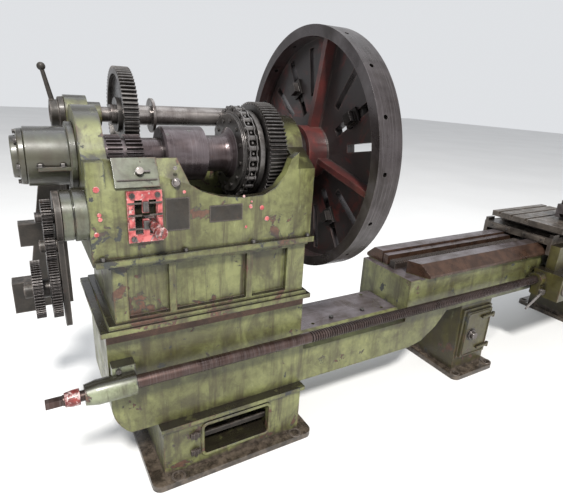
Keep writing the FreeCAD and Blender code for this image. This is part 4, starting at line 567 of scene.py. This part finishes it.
def add_turned(build, start, axis, profile, sides=24, turn=0.0):
    """A closed turned shape; profile is a list of (along the axis, radius), both in millimetres."""
    axis = Vector(axis).normalized()
    first, second = side_vectors(axis)
    rings = []
    for along, radius in profile:
        middle = start + axis * along * MM
        ring = []
        for i in range(sides):
            angle = turn + FULL_TURN * i / sides
            spoke = first * math.cos(angle) + second * math.sin(angle)
            ring.append(build.verts.new(middle + spoke * radius * MM))
        rings.append(ring)
    for low, high in zip(rings, rings[1:]):
        bridge(build, low, high)
    build.faces.new(rings[0][::-1])
    build.faces.new(rings[-1])


def add_ring(build, place, axis, inner, outer, height, sides=28):
    """A low boss with a round hole through it."""
    axis = Vector(axis).normalized()
    first, second = side_vectors(axis)
    rim_fall = 1.5
    profile = ((inner, 0.0), (outer, 0.0), (outer, height * 0.6), (outer - rim_fall, height),
               (inner, height))
    loops = []
    for radius, along in profile:
        loop = []
        for i in range(sides):
            angle = FULL_TURN * i / sides
            spoke = (first * math.cos(angle) + second * math.sin(angle)) * radius * MM
            loop.append(build.verts.new(place + axis * along * MM + spoke))
        loops.append(loop)
    for near, far in zip(loops, loops[1:] + loops[:1]):
        bridge(build, near, far)


def add_block(build, low, high, rounding, turn=None):
    """A block between two corners with rounded edges; turn is a matrix about its middle."""
    made = bmesh.ops.create_cube(build, size=1.0)["verts"]
    bmesh.ops.scale(build, vec=high - low, verts=made)
    edges = list(dict.fromkeys(edge for vert in made for edge in vert.link_edges))
    made = bmesh.ops.bevel(build, geom=edges, offset=rounding * MM, segments=2, affect="EDGES",
                           profile=0.5)["verts"]
    if turn is not None:
        bmesh.ops.transform(build, matrix=turn, verts=made)
    bmesh.ops.translate(build, vec=(low + high) / 2.0, verts=made)


def add_hex_screw(build, place, axis, across, height, turn=0.0):
    """A washer under a six-sided head with a chamfered top."""
    corner = across / math.sqrt(3.0)
    washer = [(0.0, corner * 1.18), (1.8, corner * 1.18), (2.4, corner * 1.08)]
    head_start = 2.2
    head = [(0.0, corner), (height * 0.82, corner), (height, corner * 0.86)]
    add_turned(build, place, axis, washer, 28)
    add_turned(build, place + Vector(axis).normalized() * head_start * MM, axis, head, 6, turn)


def add_slotted_screw(build, place, axis, radius, turn):
    """A low round head cut by a screwdriver slot: two half discs with a gap between them."""
    axis = Vector(axis).normalized()
    first, second = side_vectors(axis)
    along = first * math.cos(turn) + second * math.sin(turn)
    across = axis.cross(along)
    add_turned(build, place, axis, [(0.0, radius), (1.2, radius * 0.98)], 24)
    gap = radius * 0.13
    reach = math.acos(gap / radius)
    arc_steps = 12
    half_low, half_high = 1.0, 3.4
    for side in (-1.0, 1.0):
        outline = []
        for i in range(arc_steps + 1):
            angle = -reach + 2.0 * reach * i / arc_steps
            outline.append(across * side * math.cos(angle) * radius
                           + along * math.sin(angle) * radius)
        low = [build.verts.new(place + axis * half_low * MM + p * MM) for p in outline]
        high = [build.verts.new(place + axis * half_high * MM + p * 0.93 * MM) for p in outline]
        if side < 0:
            low, high = low[::-1], high[::-1]
        add_prism(build, low, high)


def rounded_rectangle(x0, x1, z0, z1, radius, steps=6):
    """Corner-rounded outline as (x, z) pairs, anticlockwise from the low right corner."""
    outline = []
    corners = ((x1 - radius, z0 + radius, -90.0), (x1 - radius, z1 - radius, 0.0),
               (x0 + radius, z1 - radius, 90.0), (x0 + radius, z0 + radius, 180.0))
    for x, z, start in corners:
        for i in range(steps + 1):
            angle = math.radians(start + 90.0 * i / steps)
            outline.append((x + radius * math.cos(angle), z + radius * math.sin(angle)))
    return outline


def add_frame(build, x0, x1, z0, z1, face, width, depth, radius):
    """A raised border round a rounded rectangle on a face that looks towards the operator."""
    loops = []
    section = ((width, face + 1.0), (width, face - depth * 0.6),
               (width - depth * 0.5, face - depth), (depth * 0.5, face - depth),
               (0.0, face - depth * 0.6), (0.0, face + 1.0))
    for grow, y in section:
        outline = rounded_rectangle(x0 - grow, x1 + grow, z0 - grow, z1 + grow, radius + grow)
        loops.append([build.verts.new(at(x, y, z)) for x, z in outline])
    for near, far in zip(loops, loops[1:] + loops[:1]):
        bridge(build, near, far)


def on_axis_circle(x, angle, radius):
    """A point at a radius in millimetres round the spindle axis."""
    return Vector((x, AXIS_Y + radius * MM * math.cos(angle),
                   AXIS_Z + radius * MM * math.sin(angle)))


def make_piece(name, build, look, body, slot, *replaced):
    bmesh.ops.recalc_face_normals(build, faces=build.faces)
    mesh = bpy.data.meshes.new(name)
    build.to_mesh(mesh)
    build.free()
    smooth_by_angle(mesh)
    finish_piece(put_in_scene(name, mesh), look, body, slot, *replaced)


# ---- the chain round the driven sleeve's sprocket -----------------------------------------------
SPROCKET_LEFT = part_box("sprocket")[0].x
CHAIN_LOW, CHAIN_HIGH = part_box("drive_chain")
CHAIN_MIDDLE = (CHAIN_LOW.x + CHAIN_HIGH.x) / 2.0
CHAIN_LINKS = 28
CHAIN_PIN_CIRCLE = 169.0
ROLLER_RADIUS = 10.5
ROLLER_LENGTH = 22.0
PIN_RADIUS = 5.2
PIN_TIP_RADIUS = 4.0
LINK_PLATE_HALF_WIDTH = 12.5
LINK_PLATE_WAIST = 0.72
LINK_PLATE_THICKNESS = 3.0
INNER_PLATE_OFFSET = 13.2
OUTER_PLATE_OFFSET = 17.0
TOOTH_ROOT_RADIUS = 156.0


def add_link_plate(build, x, start, end):
    """A waisted link plate between two pins."""
    along = (end - start).normalized()
    across = Vector((1.0, 0.0, 0.0)).cross(along)
    arc_steps = 8
    outline = []
    for centre, sign in ((end, 1.0), (start, -1.0)):
        for i in range(arc_steps + 1):
            angle = math.radians(-105.0 + 210.0 * i / arc_steps)
            spoke = along * sign * math.cos(angle) + across * sign * math.sin(angle)
            outline.append(centre + spoke * LINK_PLATE_HALF_WIDTH * MM)
    middle = (start + end) / 2.0
    waist = across * LINK_PLATE_HALF_WIDTH * LINK_PLATE_WAIST * MM
    outline.insert(arc_steps + 1, middle + waist)
    outline.append(middle - waist)
    half = LINK_PLATE_THICKNESS * MM / 2.0
    left = [build.verts.new((x - half, p.y, p.z)) for p in outline]
    right = [build.verts.new((x + half, p.y, p.z)) for p in outline]
    add_prism(build, left, right)


def make_chain():
    build = bmesh.new()
    half_width = (CHAIN_HIGH.x - CHAIN_LOW.x) / 2.0 / MM
    width = 2.0 * half_width
    pin_profile = [(0.0, PIN_TIP_RADIUS), (1.5, PIN_RADIUS), (width - 1.5, PIN_RADIUS),
                   (width, PIN_TIP_RADIUS)]
    roller_profile = [(0.0, ROLLER_RADIUS - 1.0), (1.0, ROLLER_RADIUS),
                      (ROLLER_LENGTH - 1.0, ROLLER_RADIUS), (ROLLER_LENGTH, ROLLER_RADIUS - 1.0)]
    for i in range(CHAIN_LINKS):
        angle = FULL_TURN * i / CHAIN_LINKS
        after = FULL_TURN * (i + 1) / CHAIN_LINKS
        pin = on_axis_circle(CHAIN_MIDDLE - half_width * MM, angle, CHAIN_PIN_CIRCLE)
        add_turned(build, pin, RIGHT, pin_profile, 14)
        roller = on_axis_circle(CHAIN_MIDDLE - ROLLER_LENGTH / 2.0 * MM, angle, CHAIN_PIN_CIRCLE)
        add_turned(build, roller, RIGHT, roller_profile, 18)
        offset = INNER_PLATE_OFFSET if i % 2 else OUTER_PLATE_OFFSET
        for side in (-1.0, 1.0):
            x = CHAIN_MIDDLE + side * offset * MM
            start = on_axis_circle(x, angle, CHAIN_PIN_CIRCLE)
            end = on_axis_circle(x, after, CHAIN_PIN_CIRCLE)
            add_link_plate(build, x, start, end)
    make_piece("drive_chain_links", build, "gear_steel", "sleeve_group",
               NODE_SLOT["drive_chain"], "drive_chain")


def make_sprocket_teeth():
    build = bmesh.new()
    tooth = [(0.0, 13.0), (8.0, 9.5), (15.0, 6.5), (19.0, 4.0)]
    for i in range(CHAIN_LINKS):
        angle = FULL_TURN * (i + 0.5) / CHAIN_LINKS
        root = on_axis_circle(CHAIN_MIDDLE, angle, TOOTH_ROOT_RADIUS)
        add_turned(build, root, (0.0, math.cos(angle), math.sin(angle)), tooth, 12)
    make_piece("sprocket_teeth", build, "gear_steel", "sleeve_group", NODE_SLOT["sprocket"])


# ---- the leadscrew with its thread --------------------------------------------------------------
SCREW_LOW, SCREW_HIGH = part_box("leadscrew")
SCREW_Y = (SCREW_LOW.y + SCREW_HIGH.y) / 2.0
SCREW_Z = (SCREW_LOW.z + SCREW_HIGH.z) / 2.0
SCREW_RADIUS = (SCREW_HIGH.y - SCREW_LOW.y) / 2.0 / MM
SCREW_ROOT = SCREW_RADIUS - 4.6
SCREW_CORE = SCREW_ROOT - 0.2
THREAD_PITCH = 13.0
THREAD_START = RIM_BACK - 0.049
THREAD_END = SCREW_HIGH.x - 0.095
THREAD_SIDES = 24
SQUARE_END = 52.0
SQUARE_HALF = 13.0
NECK_END = 170.0
NECK_RADIUS = 19.0


def add_thread(build, x0, x1):
    """A square-cornered thread wound from x0 to x1."""
    profile = [(0.0, SCREW_ROOT), (0.08, SCREW_RADIUS), (0.50, SCREW_RADIUS), (0.58, SCREW_ROOT)]
    steps = int((x1 - x0) / (THREAD_PITCH * MM) * THREAD_SIDES)
    rows = []
    for step in range(steps + THREAD_SIDES):
        angle = FULL_TURN * step / THREAD_SIDES
        x = x0 + (step / THREAD_SIDES - 1.0) * THREAD_PITCH * MM
        row = []
        for share, radius in profile:
            place = min(max(x + share * THREAD_PITCH * MM, x0), x1)
            row.append(build.verts.new((place, SCREW_Y + radius * MM * math.cos(angle),
                                        SCREW_Z + radius * MM * math.sin(angle))))
        rows.append(row)
    for row, after in zip(rows, rows[1:]):
        for i in range(len(profile) - 1):
            build.faces.new((row[i], after[i], after[i + 1], row[i + 1]))
    for step in range(len(rows) - THREAD_SIDES - 1):
        near, far = rows[step], rows[step + 1]
        next_near, next_far = rows[step + THREAD_SIDES], rows[step + 1 + THREAD_SIDES]
        build.faces.new((near[3], far[3], next_far[0], next_near[0]))


def make_leadscrew():
    build = bmesh.new()

    def turned_on_screw(x, profile, sides):
        add_turned(build, Vector((x, SCREW_Y, SCREW_Z)), RIGHT, profile, sides)

    left = Vector((SCREW_LOW.x, SCREW_Y, SCREW_Z))
    add_block(build, left + Vector((0.0, -SQUARE_HALF * MM, -SQUARE_HALF * MM)),
              left + Vector((SQUARE_END * MM, SQUARE_HALF * MM, SQUARE_HALF * MM)), 2.0)
    turned_on_screw(SCREW_LOW.x + SQUARE_END * MM,
                    [(-1.0, NECK_RADIUS - 2.0), (2.0, NECK_RADIUS),
                     (NECK_END - SQUARE_END, NECK_RADIUS)], 32)
    plain = (THREAD_START - SCREW_LOW.x) / MM - NECK_END
    turned_on_screw(SCREW_LOW.x + NECK_END * MM,
                    [(-1.0, 22.5), (1.0, SCREW_RADIUS), (plain - 1.5, SCREW_RADIUS),
                     (plain, SCREW_ROOT)], 40)
    core = (THREAD_END - THREAD_START) / MM
    turned_on_screw(THREAD_START, [(-1.0, SCREW_CORE), (core, SCREW_CORE)], 24)
    add_thread(build, THREAD_START, THREAD_END)
    tail = (SCREW_HIGH.x - THREAD_END) / MM
    turned_on_screw(THREAD_END,
                    [(-1.0, SCREW_RADIUS - 1.0), (0.5, SCREW_RADIUS), (tail - 2.0, SCREW_RADIUS),
                     (tail, SCREW_RADIUS - 2.0)], 40)
    make_piece("leadscrew_threaded", build, "screw_steel", "leadscrew_group",
               NODE_SLOT["leadscrew"], "leadscrew")


# ---- small fittings -----------------------------------------------------------------------------
# millimetres from the spindle axis; each fitting reaches SUNK into the piece that carries it
SUNK = 1.0
HEAD_FRONT = -240.0
GATE_FRONT = -252.0
DOOR_FRONT = -223.0
PEDESTAL_FRONT = -215.0

FOOT_THICKNESS = 0.0275
# node, inset of its holes from the left, from the right, from the front and back
FOOT_HOLES = (("left_pedestal", 107.0, 88.0, 26.0), ("middle_leg", 30.0, 30.0, 34.0),
              ("tail_leg", 30.0, 30.0, 34.0))


def make_foot_bosses():
    """Raised rings round the foundation holes of the three feet."""
    build = bmesh.new()
    for node, from_left, from_right, inset in FOOT_HOLES:
        low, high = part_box(node)
        for x in (low.x + from_left * MM, high.x - from_right * MM):
            for y in (low.y + inset * MM, high.y - inset * MM):
                add_ring(build, Vector((x, y, low.z + FOOT_THICKNESS)), UP, 21.5, 30.0, 5.0)
    make_piece("foot_bosses", build, "foot_grime", "frame", "dark_iron")


WINDOW = (-528.0, -222.0, -1242.0, -1098.0)
STUMP_LEVELS = (-1128.0, -1214.0)


def make_window_border():
    """The raised border of the pedestal's window, and the stumps of its lost door hinges."""
    build = bmesh.new()
    add_frame(build, *WINDOW, PEDESTAL_FRONT, width=15.0, depth=8.0, radius=16.0)
    make_piece("window_border", build, "foot_sage", "frame", "green_paint")
    stumps = bmesh.new()
    for z in STUMP_LEVELS:
        add_block(stumps, at(-590.0, PEDESTAL_FRONT - 14.0, z - 12.0),
                  at(-548.0, PEDESTAL_FRONT + SUNK, z + 12.0), 3.0)
        add_turned(stumps, at(-568.0, PEDESTAL_FRONT - 13.0, z - 17.0), UP,
                   [(0.0, 6.0), (34.0, 6.0)], 18)
    make_piece("hinge_stumps", stumps, "rack_iron", "frame", "dark_iron")


DOOR_FIELD = (1092.0, 1282.0, -1191.0, -924.0)
HINGE_LEVELS = (-1160.0, -955.0)
KNOB_PLACE = (1140.0, DOOR_FRONT + 0.5, -1057.5)


def make_door_trim():
    """The door's raised rounded field, its hinge straps and the rings under its knob."""
    build = bmesh.new()
    add_frame(build, *DOOR_FIELD, DOOR_FRONT, width=8.0, depth=5.0, radius=20.0)
    for z in HINGE_LEVELS:
        add_block(build, at(1206.0, DOOR_FRONT - 15.0, z - 9.0),
                  at(1304.0, DOOR_FRONT + SUNK, z + 9.0), 5.0)
    make_piece("door_trim", build, "foot_olive", "leg_door", "green_paint")
    rings = bmesh.new()
    for inner, outer, height in ((16.0, 30.0, 5.0), (34.0, 40.0, 2.6)):
        add_ring(rings, at(*KNOB_PLACE), TOWARDS_OPERATOR, inner, outer, height)
    make_piece("door_knob_rings", rings, "gear_steel", "leg_door", "oily_steel")


def make_gate_screws():
    """A slotted screw in each corner of the gate plate, each turned its own way."""
    screws = bmesh.new()
    low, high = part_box("gate_plate")
    inset_x, inset_z, plate_front = 0.016, 0.014, low.y - 0.0048
    for x, z, turn in ((low.x + inset_x, high.z - inset_z, 0.5),
                       (high.x - inset_x, high.z - inset_z, 2.2),
                       (low.x + inset_x, low.z + inset_z, 1.1),
                       (high.x - inset_x, low.z + inset_z, 2.8)):
        add_slotted_screw(screws, Vector((x, plate_front, z)), TOWARDS_OPERATOR, 9.0, turn)
    make_piece("gate_screws", screws, "gear_steel", "frame", "oily_steel")


COVER_SCREW_CIRCLE = 0.036
WAY_MIDDLE = 0.120
WIPER_HALF_WIDTH = 0.075
WIPER_SCREWS = (-0.055, 0.055)


def make_carriage_details():
    """The gearbox's round covers, the way wipers and their screws."""
    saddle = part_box("saddle")[0]
    low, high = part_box("apron")
    covers = bmesh.new()
    screws = bmesh.new()
    for share in (0.16, 0.42):
        centre = Vector((low.x + (high.x - low.x) * share, low.y + 0.050, low.z + 0.078))
        add_turned(covers, centre, TOWARDS_OPERATOR,
                   [(-1.0, 46.0), (5.0, 46.0), (7.0, 43.0), (7.5, 22.0), (11.0, 20.0)], 40)
        for i in range(4):
            angle = math.radians(45.0 + 90.0 * i)
            spot = centre + Vector((math.cos(angle) * COVER_SCREW_CIRCLE, -0.0068,
                                    math.sin(angle) * COVER_SCREW_CIRCLE))
            add_slotted_screw(screws, spot, TOWARDS_OPERATOR, 5.0, angle)
    end_inset, gaps = 0.070, 5
    for i in range(gaps + 1):
        x = low.x + end_inset + (high.x - low.x - 2.0 * end_inset) * i / gaps
        place = Vector((x, low.y + 0.066, low.z + 0.166))
        add_hex_screw(screws, place, UP, 14.0, 8.0, i * 0.5)
    for side in (-1.0, 1.0):
        y = AXIS_Y + side * WAY_MIDDLE
        add_block(covers, Vector((saddle.x - 0.006, y - WIPER_HALF_WIDTH, saddle.z + 0.070)),
                  Vector((saddle.x + 0.001, y + WIPER_HALF_WIDTH, saddle.z + 0.100)), 1.5)
        for offset in WIPER_SCREWS:
            place = Vector((saddle.x - 0.0058, y + offset, saddle.z + 0.085))
            add_slotted_screw(screws, place, LEFT, 6.0, 0.9 + offset * 9.0)
    make_piece("carriage_covers", covers, "saddle_iron", "carriage", "dark_iron")
    make_piece("carriage_screws", screws, "gear_steel", "carriage", "oily_steel")


def make_tailstock_details():
    """Clamp nuts on the base and two oil plugs on the barrel."""
    low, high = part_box("tailstock")
    build = bmesh.new()
    end_inset, nut_y, base_top, barrel_top = 0.020, 0.163, low.z + 0.0698, AXIS_Z + 0.087
    for share in (0.10, 0.90):
        x = low.x + end_inset + (high.x - low.x - 2.0 * end_inset) * share
        for side in (-1.0, 1.0):
            place = Vector((x, AXIS_Y + side * nut_y, base_top))
            add_hex_screw(build, place, UP, 19.0, 13.0, x)
    for share in (0.35, 0.75):
        place = Vector((low.x + (high.x - low.x) * share, AXIS_Y, barrel_top))
        add_turned(build, place, UP, [(0.0, 9.0), (5.0, 9.0), (8.0, 6.0)], 20)
    make_piece("tailstock_fittings", build, "gear_steel", "tailstock", "oily_steel")


# steel blocks between the gate's slots, red stops beside them, and black sheets painting the shade
# in the gaps between the stops:
# name, look, slot, height above the plate, edge radius, spans along x, spans along z
GATE_BLOCKS = (
    ("gate_interlocks", "gear_steel", "oily_steel", 6.0, 2.0,
     ((-743.5, -725.5),), ((-147.0, -112.0), (-204.0, -175.0))),
    ("gate_stops", "red", "red_paint", 7.0, 2.5,
     ((-789.0, -771.0), (-698.0, -682.0)), ((-152.0, -124.0), (-196.0, -166.0))),
    ("gate_gap_painted_shade", "plate", "dark_iron", 1.2, 0.5,
     ((-790.0, -746.5), (-722.5, -682.0)), ((-161.0, -155.0), (-205.0, -199.0), (-121.0, -115.0))),
)


def make_gate_blocks():
    for name, look, slot, height, edge, spans_x, spans_z in GATE_BLOCKS:
        build = bmesh.new()
        for x0, x1 in spans_x:
            for z0, z1 in spans_z:
                add_block(build, at(x0, GATE_FRONT - height, z0), at(x1, GATE_FRONT + SUNK, z1),
                          edge)
        make_piece(name, build, look, "frame", slot)


COVER_RISE = 86.0
COVER_DEPTH = 50.0


def make_cover_strip():
    """The bare data strip along the foot of the sloping cover."""
    build = bmesh.new()
    low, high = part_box("gear_cover")
    slope = math.atan2(COVER_RISE, COVER_DEPTH)
    turn = Matrix.Rotation(slope - math.pi / 2.0, 4, "X")
    middle = Vector(((low.x + high.x) / 2.0, low.y + 0.0125, low.z + 0.0205))
    size = Vector(((high.x - low.x) * 0.90, 0.003, 0.018))
    add_block(build, middle - size / 2.0, middle + size / 2.0, 0.6, turn.inverted())
    make_piece("cover_strip", build, "plate", "frame", "dark_iron")


# x, z and radius of the red plugs on the headstock's front
RED_PLUGS = ((-355.0, -160.0, 8.0), (-309.0, -168.0, 9.0), (-286.0, -212.0, 9.5),
             (-352.0, -142.0, 4.0), (-603.0, -92.0, 6.0), (-877.0, -70.0, 10.0),
             (-874.0, -150.0, 7.0), (-872.0, -164.0, 7.0), (-886.0, -212.0, 8.0),
             (-383.0, -121.0, 5.0), (-372.0, -236.0, 5.5))


def make_headstock_fittings():
    """Two oil plugs beside the cover, and the red plugs over the headstock's front."""
    steel = bmesh.new()
    add_turned(steel, at(-630.0, HEAD_FRONT + SUNK, -59.0), TOWARDS_OPERATOR,
               [(0.0, 15.0), (3.0, 15.0), (4.0, 11.5), (13.0, 11.5), (16.0, 8.0)], 28)
    add_turned(steel, at(-632.0, HEAD_FRONT + SUNK, -12.0), TOWARDS_OPERATOR,
               [(0.0, 7.0), (3.0, 7.0), (4.5, 4.0)], 20)
    make_piece("headstock_oil_plugs", steel, "bright_steel", "frame", "bright_steel")
    red = bmesh.new()
    for x, z, radius in RED_PLUGS:
        add_turned(red, at(x, HEAD_FRONT + SUNK, z), TOWARDS_OPERATOR,
                   [(0.0, radius), (2.5, radius), (3.6, radius * 0.8)], 20)
    make_piece("red_plugs", red, "red", "frame", "red_paint")


def make_bearing_details():
    """The rail along the rear bearing housing's split, and the screws of both spindle bearings."""
    low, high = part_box("rear_bearing_housing")
    build = bmesh.new()
    add_block(build, Vector((low.x + 0.030, AXIS_Y - 0.106, AXIS_Z - 0.034)),
              Vector((high.x - 0.004, AXIS_Y - 0.070, AXIS_Z - 0.020)), 3.0)
    make_piece("housing_lip", build, "grey_green", "frame", "green_paint")
    screws = bmesh.new()
    for share in (0.18, 0.62):
        x = low.x + (high.x - low.x) * share + 0.012
        add_hex_screw(screws, Vector((x, AXIS_Y - 0.096, AXIS_Z - 0.021)), UP, 17.0, 9.0, 0.4)
    cap_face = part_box("rear_bearing_cap")[0].x + 0.0202
    ring_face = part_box("front_bearing_ring")[1].x
    for x, axis, count, first, radius, across, height in (
            (cap_face, LEFT, 6, 15.0, 79.0, 13.0, 7.0),
            (ring_face, RIGHT, 8, 22.5, 104.0, 16.0, 9.0)):
        for i in range(count):
            angle = math.radians(first + 360.0 / count * i)
            add_hex_screw(screws, on_axis_circle(x, angle, radius), axis, across, height, angle)
    make_piece("bearing_screws", screws, "gear_steel", "frame", "oily_steel")


# x, radius of the surface and angles in degrees of the sleeve's set screws
SET_SCREWS = ((-604.0, 99.5, (40.0, 130.0, 220.0, 310.0)), (-520.0, 99.6, (118.0, 298.0)),
              (-428.0, 67.6, (112.0, 292.0)))
SPROCKET_SCREWS = 12
SPROCKET_SCREW_CIRCLE = 126.0


def make_sleeve_details():
    """Set screws on the driven sleeve and the round heads on the sprocket's left face."""
    build = bmesh.new()
    for x, radius, angles in SET_SCREWS:
        for angle in angles:
            turn = math.radians(angle)
            add_turned(build, on_axis_circle(RIM_BACK + x * MM, turn, radius),
                       (0, math.cos(turn), math.sin(turn)), [(-1.0, 6.5), (0.8, 6.5), (1.2, 3.0)],
                       18)
    for i in range(SPROCKET_SCREWS):
        turn = math.radians(360.0 / SPROCKET_SCREWS * i + 10.0)
        place = on_axis_circle(SPROCKET_LEFT + 0.0002, turn, SPROCKET_SCREW_CIRCLE)
        add_turned(build, place, LEFT, [(-1.0, 7.5), (5.0, 7.5), (6.0, 5.5)], 18)
    make_piece("sleeve_screws", build, "gear_steel", "sleeve_group", "oily_steel")


make_chain()
make_sprocket_teeth()
make_foot_bosses()
make_window_border()
make_door_trim()
make_gate_screws()
make_carriage_details()
make_tailstock_details()
make_leadscrew()
make_gate_blocks()
make_cover_strip()
make_headstock_fittings()
make_bearing_details()
make_sleeve_details()

# ---- floor, light and camera --------------------------------------------------------------------
FLOOR_HALF = 30.0
LIGHT_TARGET = at(0.0, 0.0, -300.0)
# name, place in millimetres from the spindle axis, size in metres, power in watts, tint
LIGHTS = (
    ("key", (-2900.0, -8200.0, 9300.0), 1.7, 3100.0, (1.0, 0.98, 0.94)),
    ("sky_top", (600.0, 600.0, 4800.0), 5.0, 120.0, (0.93, 0.97, 1.0)),
    ("front_fill", (1800.0, -5200.0, 1500.0), 4.0, 40.0, (1.0, 1.0, 1.0)),
)
SKY_COLOUR = rgb(0.95, 0.97, 1.0)
SKY_STRENGTH = 0.78
CAMERA_PLACE = (-1063.0, -1667.0, 234.0)
CAMERA_YAW = math.radians(30.75)
CAMERA_PITCH = math.radians(19.29)
CAMERA_ROLL = math.radians(3.21)
CAMERA_LENS = 28.54
CAMERA_SENSOR = 36.0
CAMERA_REACH = 200.0


def make_floor():
    look = Look("pale_floor")
    tone = look.blend(look.mask(0.6, 3.0, 0.5, low=0.3, high=0.7),
                      rgb(0.60, 0.60, 0.60), rgb(0.63, 0.63, 0.63))
    look.finish(tone, 0.85, 0.0)
    mesh = bpy.data.meshes.new("floor")
    corners = [(-FLOOR_HALF, -FLOOR_HALF, 0.0), (FLOOR_HALF, -FLOOR_HALF, 0.0),
               (FLOOR_HALF, FLOOR_HALF, 0.0), (-FLOOR_HALF, FLOOR_HALF, 0.0)]
    mesh.from_pydata(corners, [], [(0, 1, 2, 3)])
    floor = put_in_scene("floor", mesh)
    mesh.materials.append(look.material)


def make_lights():
    """Three soft lamps and a pale sky."""
    for name, place, size, power, tint in LIGHTS:
        data = bpy.data.lights.new(name, "AREA")
        data.shape = "DISK"
        data.size = size
        data.energy = power
        data.color = tint
        light = put_in_scene(name, data)
        light.location = at(*place)
        light.rotation_mode = "QUATERNION"
        light.rotation_quaternion = (LIGHT_TARGET - at(*place)).to_track_quat("-Z", "Y")
    world = bpy.data.worlds.new("pale_sky")
    world.use_nodes = True
    sky = world.node_tree.nodes["Background"]
    sky.inputs["Color"].default_value = SKY_COLOUR
    sky.inputs["Strength"].default_value = SKY_STRENGTH
    bpy.context.scene.world = world
    bpy.context.scene.view_settings.view_transform = "Standard"


def make_camera():
    """A camera at the standing viewer's eye, turned a little clockwise."""
    forward = Vector((math.sin(CAMERA_YAW) * math.cos(CAMERA_PITCH),
                      math.cos(CAMERA_YAW) * math.cos(CAMERA_PITCH), -math.sin(CAMERA_PITCH)))
    level = Vector((math.cos(CAMERA_YAW), -math.sin(CAMERA_YAW), 0.0))
    lift = level.cross(forward)
    right = level * math.cos(CAMERA_ROLL) + lift * math.sin(CAMERA_ROLL)
    up = lift * math.cos(CAMERA_ROLL) - level * math.sin(CAMERA_ROLL)
    data = bpy.data.cameras.new("camera")
    data.sensor_width = CAMERA_SENSOR
    data.lens = CAMERA_LENS
    data.clip_end = CAMERA_REACH
    camera = put_in_scene("camera", data)
    turn = Matrix((right, up, -forward)).transposed().to_4x4()
    camera.matrix_world = Matrix.Translation(at(*CAMERA_PLACE)) @ turn
    bpy.context.scene.camera = camera


make_floor()
make_lights()
make_camera()
